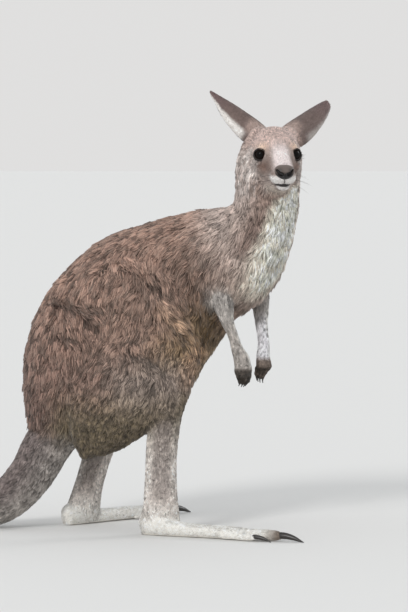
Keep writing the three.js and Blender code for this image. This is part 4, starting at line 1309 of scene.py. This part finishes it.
# ---------------------------------------------------------------------------
# The coat: many thin pointed locks of hair, each a closed little body rooted in the skin. A
# lock leaves the skin at a slant and lies along the body with its neighbours, and several
# draw to one point, as fur does when it parts into tufts.

PALE_TIP = hue(214, 194, 178)
SPARSE = 1.0
ROOT_DEPTH = 0.5  # how far a lock's root is sunk into the skin
MIDDLE_AT, TIP_AT = 0.40, 0.96  # shares of the lock's length
MIDDLE_RISE, TIP_DROOP = 0.78, 0.10  # shares of the tip's rise, and of the length
LENGTHS, WIDTHS, RISES = (0.72, 1.2), (0.75, 1.25), (0.30, 0.95)  # shares drawn for each lock
THINNEST, WIDENING = 0.74, 0.024  # a lock's width, and what each millimetre of length adds
BARE_EYE, BARE_LIP, BARE_NOSE = 14.3, 4.2, (14, 17.2, 14)  # no locks nearer than that
CHEST_FROM, NECK_FROM = 0.42, 0.74  # shares of the way from the rump to the crown
LOWEST_ROOT, LOWEST_MIDDLE, LOWEST_TIP = 0.0002, 0.0007, 0.0003  # metres above the floor
TUFTS = [(1 / 60, 0.34, 0.12), (1 / 8, 0.26, 0.26)]  # share of locks that lead, pull, shade apart
LOCK_FACES = [(0, 2, 1), (3, 1, 2), (0, 1, 3), (0, 3, 2)]  # root, left, right and tip corners
LOCK_ON_MAP = np.array([(0, -1), (-1, -0.2), (1, -0.2), (0, 1)]) * 0.0015

skin.data.calc_loop_triangles()
SKIN_FACES = read_out(skin.data.loop_triangles, "vertices", np.int32, 3)


def mixed(**by_part):
    """A value for each corner of the skin, from a value for each part it belongs to."""
    return sum(belongs[:, k] * by_part[part] for k, part in enumerate(PARTS)) / belongs.sum(axis=1)


trunk_share = fields[:, 0]
arm_out = ramp(at[:, 2], 560, 400)
hand_out = ramp(at[:, 2], 366, 345)
tail_out = ramp(at[:, 0], -300, -800)
cheek_hair = ramp(ahead, 30, -20) * ramp(up, 10, -20)
LOCK_LENGTH = mixed(
    trunk=25 - 11 * ramp(trunk_share, 0.66, 0.84) - 2 * ramp(trunk_share, 0.3, 0.0),
    head=5.4 + 6.5 * cheek_hair - 2.0 * ramp(ahead, 25, 60) + 2.0 * ramp(ahead, -40, -70),
    thigh=18 - 8 * ramp(at[:, 2], 300, 220), shank=6 + 4 * ramp(at[:, 2], 90, 260), foot=5.4,
    arm=18 - 10.5 * arm_out - 3.6 * hand_out, tail=12.5 - 5.5 * tail_out, ear=4.4)
COAT_DEPTH = mixed(
    trunk=12.0 - 4 * ramp(trunk_share, 0.7, 0.9), head=2.6 + 3.4 * cheek_hair,
    thigh=9.5 - 4 * ramp(at[:, 2], 300, 225), shank=2.0 + 3.5 * ramp(at[:, 2], 60, 260), foot=1.9,
    arm=8.0 - 5.9 * arm_out - 0.7 * hand_out, tail=6.5 - 3.6 * tail_out, ear=1.1)
LAYERS = mixed(trunk=3.95, head=2.2, thigh=3.25, shank=1.7, foot=1.4, arm=2.6, tail=1.8, ear=1.5)
eye_gap = gap_to(at, EYE_MIDDLES.values())
lip_gap = gap_to(at, MOUTH_POINTS)
lid_hair = ramp(eye_gap, 26, 17)
LOCK_LENGTH = LOCK_LENGTH * (1 - 0.55 * lid_hair)
COAT_DEPTH = COAT_DEPTH * (1 - 0.5 * lid_hair)
LOCK_LENGTH = LOCK_LENGTH * (1 - 0.45 * ramp(lip_gap, 10, 5))
LOCK_WIDTH = THINNEST + WIDENING * LOCK_LENGTH
nose_away = np.stack([ahead - NOSE_AT[0], left, up - NOSE_AT[1]], axis=1) / BARE_NOSE
BARE = (eye_gap < BARE_EYE) | (lip_gap < BARE_LIP) | (np.linalg.norm(nose_away, axis=1) < 1.0)
BARE |= (at[:, 2] < 4) & (normal[:, 2] < -0.6)  # the soles


def sampled(density, faces, rng):
    """Places spread over the faces by density: the running sum of area times density is cut
    into equal steps, and each place is put at random inside its face."""
    a, b, c = (places[faces[:, k]] for k in range(3))
    area = np.linalg.norm(np.cross(b - a, c - a), axis=1) / 2
    wanted = np.cumsum(area * density)
    count = int(wanted[-1])
    pick = np.searchsorted(wanted, (np.arange(count) + rng.random(count)) * wanted[-1] / count)
    pick = np.minimum(pick, len(faces) - 1)
    u, v = np.sqrt(rng.random(count)), rng.random(count)
    return faces[pick], np.stack([1 - u, u * (1 - v), u * v], axis=1)


def in_metres(values):
    """A column of metres, from millimetres."""
    return (values * MM)[:, None]


def locks_mesh(name, every, triangles, facing):
    """The mesh of corners and triangles. Its corners face nearly as the skin below them does,
    a little outward on each side, so that light runs over the locks as over real hair."""
    mesh = bpy.data.meshes.new(name)
    mesh.vertices.add(len(every))
    mesh.vertices.foreach_set("co", every.astype(np.float32).ravel())
    mesh.loops.add(len(triangles))
    mesh.loops.foreach_set("vertex_index", triangles.astype(np.int32))
    mesh.polygons.add(len(triangles) // 3)
    mesh.polygons.foreach_set("loop_start", np.arange(0, len(triangles), 3, dtype=np.int32))
    mesh.polygons.foreach_set("use_smooth", np.ones(len(triangles) // 3, bool))
    mesh.update(calc_edges=True)
    mesh.normals_split_custom_set_from_vertices(facing.astype(np.float32))
    return mesh


def lock_colours(rng, own_root, n, belong, field, shaggy, parting, bunch):
    """Colours of the root, left, right and tip corners: the markings, livelier on long hair
    and behind, darkened by painted shade in the partings, dark at the root, and here and there
    pale at the tip."""
    colour = markings_and_painted_light(own_root, n, belong, *field.T)
    ahead = head_parts(own_root)[0]
    long_haired = shaggy + belong[:, TAIL_PART] + 0.7 * belong[:, ARM_PART] + 0.6 * belong[:, SHANK_PART]
    long_haired += belong[:, HEAD_PART] * ramp(ahead, 30, -10)
    hind = belong[:, THIGH_PART] + belong[:, TRUNK_PART] * ramp(field[:, 0], 0.38, 0.22)
    lively = 0.24 * rng.normal(0, 1, len(n)) + 0.22 * waves(own_root, 9, 15) * (0.4 + 0.6 * shaggy)
    lively = lively + bunch
    lively = lively * (0.4 + 0.6 * np.clip(long_haired, 0, 1))
    lively = 1 + lively * (1 - 0.2 * belong[:, HEAD_PART]) * (1 + 0.5 * hind)
    # painted shade in the partings between tufts
    colour = colour * np.clip(lively * (1 - 0.52 * parting), 0.35, 1.7)[:, None]
    body_hair = np.clip(shaggy + 0.6 * belong[:, TAIL_PART], 0, 1)
    deep = colour * (0.78 - 0.33 * body_hair)[:, None]
    end = toward(colour * 1.12, PALE_TIP, 0.30 * body_hair * rng.random(len(n)))
    return np.clip(np.stack([deep, colour, colour, end], axis=1).reshape(-1, 3), 0, 1)


def locks_on_map(mesh, rng, lead, own_root, triangles):
    """The OFBake map: a band for each part, halved by the body's middle, where every lock
    has a small kite at its own angle round the part and its own share of the way along."""
    around = np.arctan2(angle_sin[lead], angle_cos[lead]) / (2 * math.pi) + 0.5
    spot = np.stack([around, share[lead]], axis=1) + rng.uniform(-0.004, 0.004, (len(lead), 2))
    bands = np.unique(part_of[lead])
    order = np.searchsorted(bands, part_of[lead])
    left_half = (own_root[:, 1] > LEFT_FROM).astype(float)
    spot = np.stack([(left_half + np.clip(spot[:, 0], 0.01, 0.99)) / 2,
                     (order + np.clip(spot[:, 1], 0.01, 0.99)) / len(bands)], axis=1)
    spot = np.clip(spot, 0.004, 0.996)
    corner_uv = (spot[:, None] + LOCK_ON_MAP).reshape(-1, 2)[triangles]
    mesh.uv_layers.new(name="OFBake").data.foreach_set("uv", corner_uv.astype(np.float32).ravel())


def coat(name, where, slot, seed):
    """Locks over the skin's corners in where. Each has a root, a left, a right and a tip
    corner: the tip rises by a random share of the coat's depth, and the middle pair, at two
    fifths of the way, by most of that. Waves turn the locks and part them."""
    rng = np.random.default_rng(seed)
    faces = SKIN_FACES[(where & ~BARE)[SKIN_FACES].all(axis=1)]
    layers, long, wide = (values[faces].mean(axis=1) for values in (LAYERS, LOCK_LENGTH, LOCK_WIDTH))
    corners, weights = sampled(layers / (0.5 * long * wide * MM * MM) * SPARSE, faces, rng)

    def take(values):
        """Values of the skin's corners, weighed where each lock stands."""
        return np.einsum("nk,nk...->n...", weights, values[corners])

    root, n, way = take(places), unit(take(normal)), take(lie)
    own_root = own(root)
    count = len(root)
    long = take(LOCK_LENGTH) * rng.uniform(*LENGTHS, count)
    wide = take(LOCK_WIDTH) * rng.uniform(*WIDTHS, count) / math.sqrt(SPARSE)
    depth, belong, field = take(COAT_DEPTH), take(belongs), take(fields)
    shaggy = belong[:, TRUNK_PART] + belong[:, THIGH_PART]

    way = unit(way - n * np.sum(way * n, axis=1, keepdims=True))
    side = np.cross(n, way)
    turn = 0.32 * waves(own_root, 30, 11) + 0.42 * waves(own_root, 13, 12) * (0.5 + 0.5 * shaggy)
    turn = turn * (0.35 + 0.65 * shaggy) + rng.normal(0, 0.12, count)
    way = way * np.cos(turn)[:, None] + side * np.sin(turn)[:, None]
    side = np.cross(n, way)
    bend = (rng.normal(0, 0.05, count) + 0.10 * waves(own_root, 17, 13)) * long
    warp = np.stack([waves(own_root, 70, 31 + k) for k in range(3)], axis=1)
    warped = own_root * [0.5, 0.5, 1.0] + 9 * warp
    wide_wave, small_wave = waves(warped, 30, 14), waves(warped, 15, 34)
    parting = np.maximum(bell(wide_wave, 0.22), 0.8 * bell(small_wave, 0.16)) * shaggy
    parting = parting * (1 - 0.8 * ramp(field[:, 0], 0.45, 0.62))
    rise = depth * rng.uniform(*RISES, count)
    rise = rise * (1 + 0.22 * np.abs(wide_wave) * shaggy - 0.35 * parting)
    middle = root + way * in_metres(long * MIDDLE_AT) + n * in_metres(rise * MIDDLE_RISE)
    middle = middle + side * in_metres(bend)
    tip = root + way * in_metres(long * TIP_AT) + n * in_metres(rise)
    tip[:, 2] -= long * MM * TIP_DROOP * shaggy

    bunch = np.zeros(count)
    for leading, pull, shade_apart in TUFTS:
        centre = np.flatnonzero(rng.random(count) < leading)
        mine = centre[nearest(root, root[centre])]
        same_side = np.sum(n * n[mine], axis=1) > 0.5
        drawn = (pull * (0.4 + 1.2 * rng.random(count)) * (0.55 + 0.45 * shaggy) * same_side)[:, None]
        bunch += shade_apart * rng.normal(0, 1, count)[mine]
        tip = tip + (tip[mine] - tip) * drawn
        middle = middle + (middle[mine] - middle) * drawn * 0.3

    roll = rng.normal(0, 0.3, count).clip(-0.6, 0.6)[:, None]
    across = side * np.cos(roll) + n * np.sin(roll)
    root = root - n * (ROOT_DEPTH * MM)
    for corner, lowest in ((root, LOWEST_ROOT), (middle, LOWEST_MIDDLE), (tip, LOWEST_TIP)):
        corner[:, 2] = np.maximum(corner[:, 2], lowest)
    half = across * in_metres(wide / 2)
    every = np.stack([root, middle + half, middle - half, tip], axis=1).reshape(-1, 3)
    triangles = (np.arange(count)[:, None, None] * 4 + np.array(LOCK_FACES)).reshape(-1)

    facing = [n + way * 0.2, n * 0.85 + across * 0.5, n * 0.85 - across * 0.5, n * 0.9 + way * 0.3]
    mesh = locks_mesh(name, every, triangles, unit(np.stack(facing, axis=1).reshape(-1, 3)))
    painted(mesh, "Coat", lock_colours(rng, own_root, n, belong, field, shaggy, parting, bunch))
    locks_on_map(mesh, rng, corners[np.arange(count), weights.argmax(axis=1)], own_root, triangles)
    mesh.materials.append(coat_finish)
    piece = bpy.data.objects.new(name, mesh)
    bpy.context.scene.collection.objects.link(piece)
    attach(piece, "root")


def grown(mask):
    """The mask and one more ring of corners round it, so that neighbouring pieces meet."""
    wider = mask.copy()
    touched = mask[edges].any(axis=1)
    wider[edges[touched].ravel()] = True
    return wider


FUR = {"Roughness": 0.62, "Specular IOR Level": 0.25, "Sheen Weight": 0.12, "Sheen Roughness": 0.5}
FUR_GRAIN = {"Scale": 1600, "Detail": 2, "Darkest": 0.78, "Lightest": 1.22}

coat_finish, nodes, links, shader = finish_of("fur", FUR)
fur = placed(GRAINED, nodes, FUR_GRAIN)
links.new(colour_kept("Coat", nodes), fur.inputs["Color"])
links.new(fur.outputs["Color"], shader.inputs["Base Color"])

main_part = belongs.argmax(axis=1)
x, y, z = at.T
torso = (main_part == TRUNK_PART) & (trunk_share < NECK_FROM)
front = trunk_share > CHEST_FROM
right_torso = y < -10 - 0.3 * np.clip(x + 60, 0, 200)
right_thigh = y < 10
REGIONS = [
    ("coat_rump_right", torso & ~front & right_torso, "coat"),
    ("coat_rump_left", torso & ~front & ~right_torso, "coat"),
    ("coat_chest_right", torso & front & right_torso, "coat"),
    ("coat_chest_left", torso & front & ~right_torso, "coat"),
    ("coat_neck", (main_part == TRUNK_PART) & (trunk_share >= NECK_FROM), "coat"),
    ("coat_head", main_part == HEAD_PART, "pale_coat"),
    ("coat_ears", main_part == EAR_PART, "dark_coat"),
    ("coat_thigh_right", (main_part == THIGH_PART) & right_thigh, "coat"),
    ("coat_thigh_left", (main_part == THIGH_PART) & ~right_thigh, "coat"),
    ("coat_shanks", main_part == SHANK_PART, "pale_coat"),
    ("coat_feet", main_part == FOOT_PART, "pale_coat"),
    ("coat_arms", main_part == ARM_PART, "pale_coat"),
    ("coat_tail", main_part == TAIL_PART, "dark_coat")]
for number, (name, where, slot) in enumerate(REGIONS):
    coat(name, grown(where), slot, 100 + number)

# ---------------------------------------------------------------------------
# The floor, the camera and the light: a pale level floor, a long lens eight metres to the
# animal's right and a little above its head, and soft daylight from a lit sky and two lamps.

FLOOR_HALF = 30000.0
FLOOR_MATT = {"Base Color": (0.72, 0.71, 0.69, 1), "Roughness": 0.9}
CAMERA_BACK, CAMERA_UP, CAMERA_DIP = -8.0, 0.9286, 3.37  # metres, metres, degrees
LENS, SENSOR = 230.6, 36
SKY_LIGHT, SKY_SEEN = (0.94, 0.97, 1.0, 1), (0.745, 0.74, 0.735, 1)
SKY_STRENGTH = 0.78

floor_corners = np.array([[-1, -1, 0], [1, -1, 0], [1, 1, 0], [-1, 1, 0]]) * FLOOR_HALF
floor = solid("floor", (floor_corners, [[0, 1, 2, 3]]))
floor.data.materials.append(finish_of("pale_floor", FLOOR_MATT)[0])

camera = bpy.data.objects.new("camera", bpy.data.cameras.new("camera"))
bpy.context.scene.collection.objects.link(camera)
camera.location = SHIFT + np.array([0, CAMERA_BACK, CAMERA_UP])
camera.rotation_euler = (math.radians(90 - CAMERA_DIP), 0, 0)
camera.data.lens = LENS
camera.data.sensor_width = SENSOR
camera.data.clip_end = 100
bpy.context.scene.camera = camera

world = bpy.data.worlds.new("studio")
bpy.context.scene.world = world
world.use_nodes = True
sky_nodes, sky_links = world.node_tree.nodes, world.node_tree.links
soft = sky_nodes["Background"]
soft.inputs["Color"].default_value = SKY_LIGHT
soft.inputs["Strength"].default_value = SKY_STRENGTH
seen = sky_nodes.new("ShaderNodeBackground")
seen.inputs["Color"].default_value = SKY_SEEN
ray = sky_nodes.new("ShaderNodeLightPath")
choice = sky_nodes.new("ShaderNodeMixShader")
sky_links.new(ray.outputs["Is Camera Ray"], choice.inputs[0])
sky_links.new(soft.outputs[0], choice.inputs[1])
sky_links.new(seen.outputs[0], choice.inputs[2])
sky_links.new(choice.outputs[0], sky_nodes["World Output"].inputs["Surface"])


def lamp(name, facing, strength, spread_angle):
    """A distant lamp whose light travels the way it faces, spread over so many degrees."""
    light = bpy.data.lights.new(name, "SUN")
    light.energy, light.angle = strength, math.radians(spread_angle)
    made = bpy.data.objects.new(name, light)
    bpy.context.scene.collection.objects.link(made)
    made.rotation_euler = Vector(facing).to_track_quat("-Z", "Y").to_euler()


lamp("key", (0.42, 0.85, -0.50), 1.45, 14)
lamp("rim", (-0.75, -0.35, -0.40), 0.65, 20)
bpy.context.scene.view_settings.view_transform = "Standard"
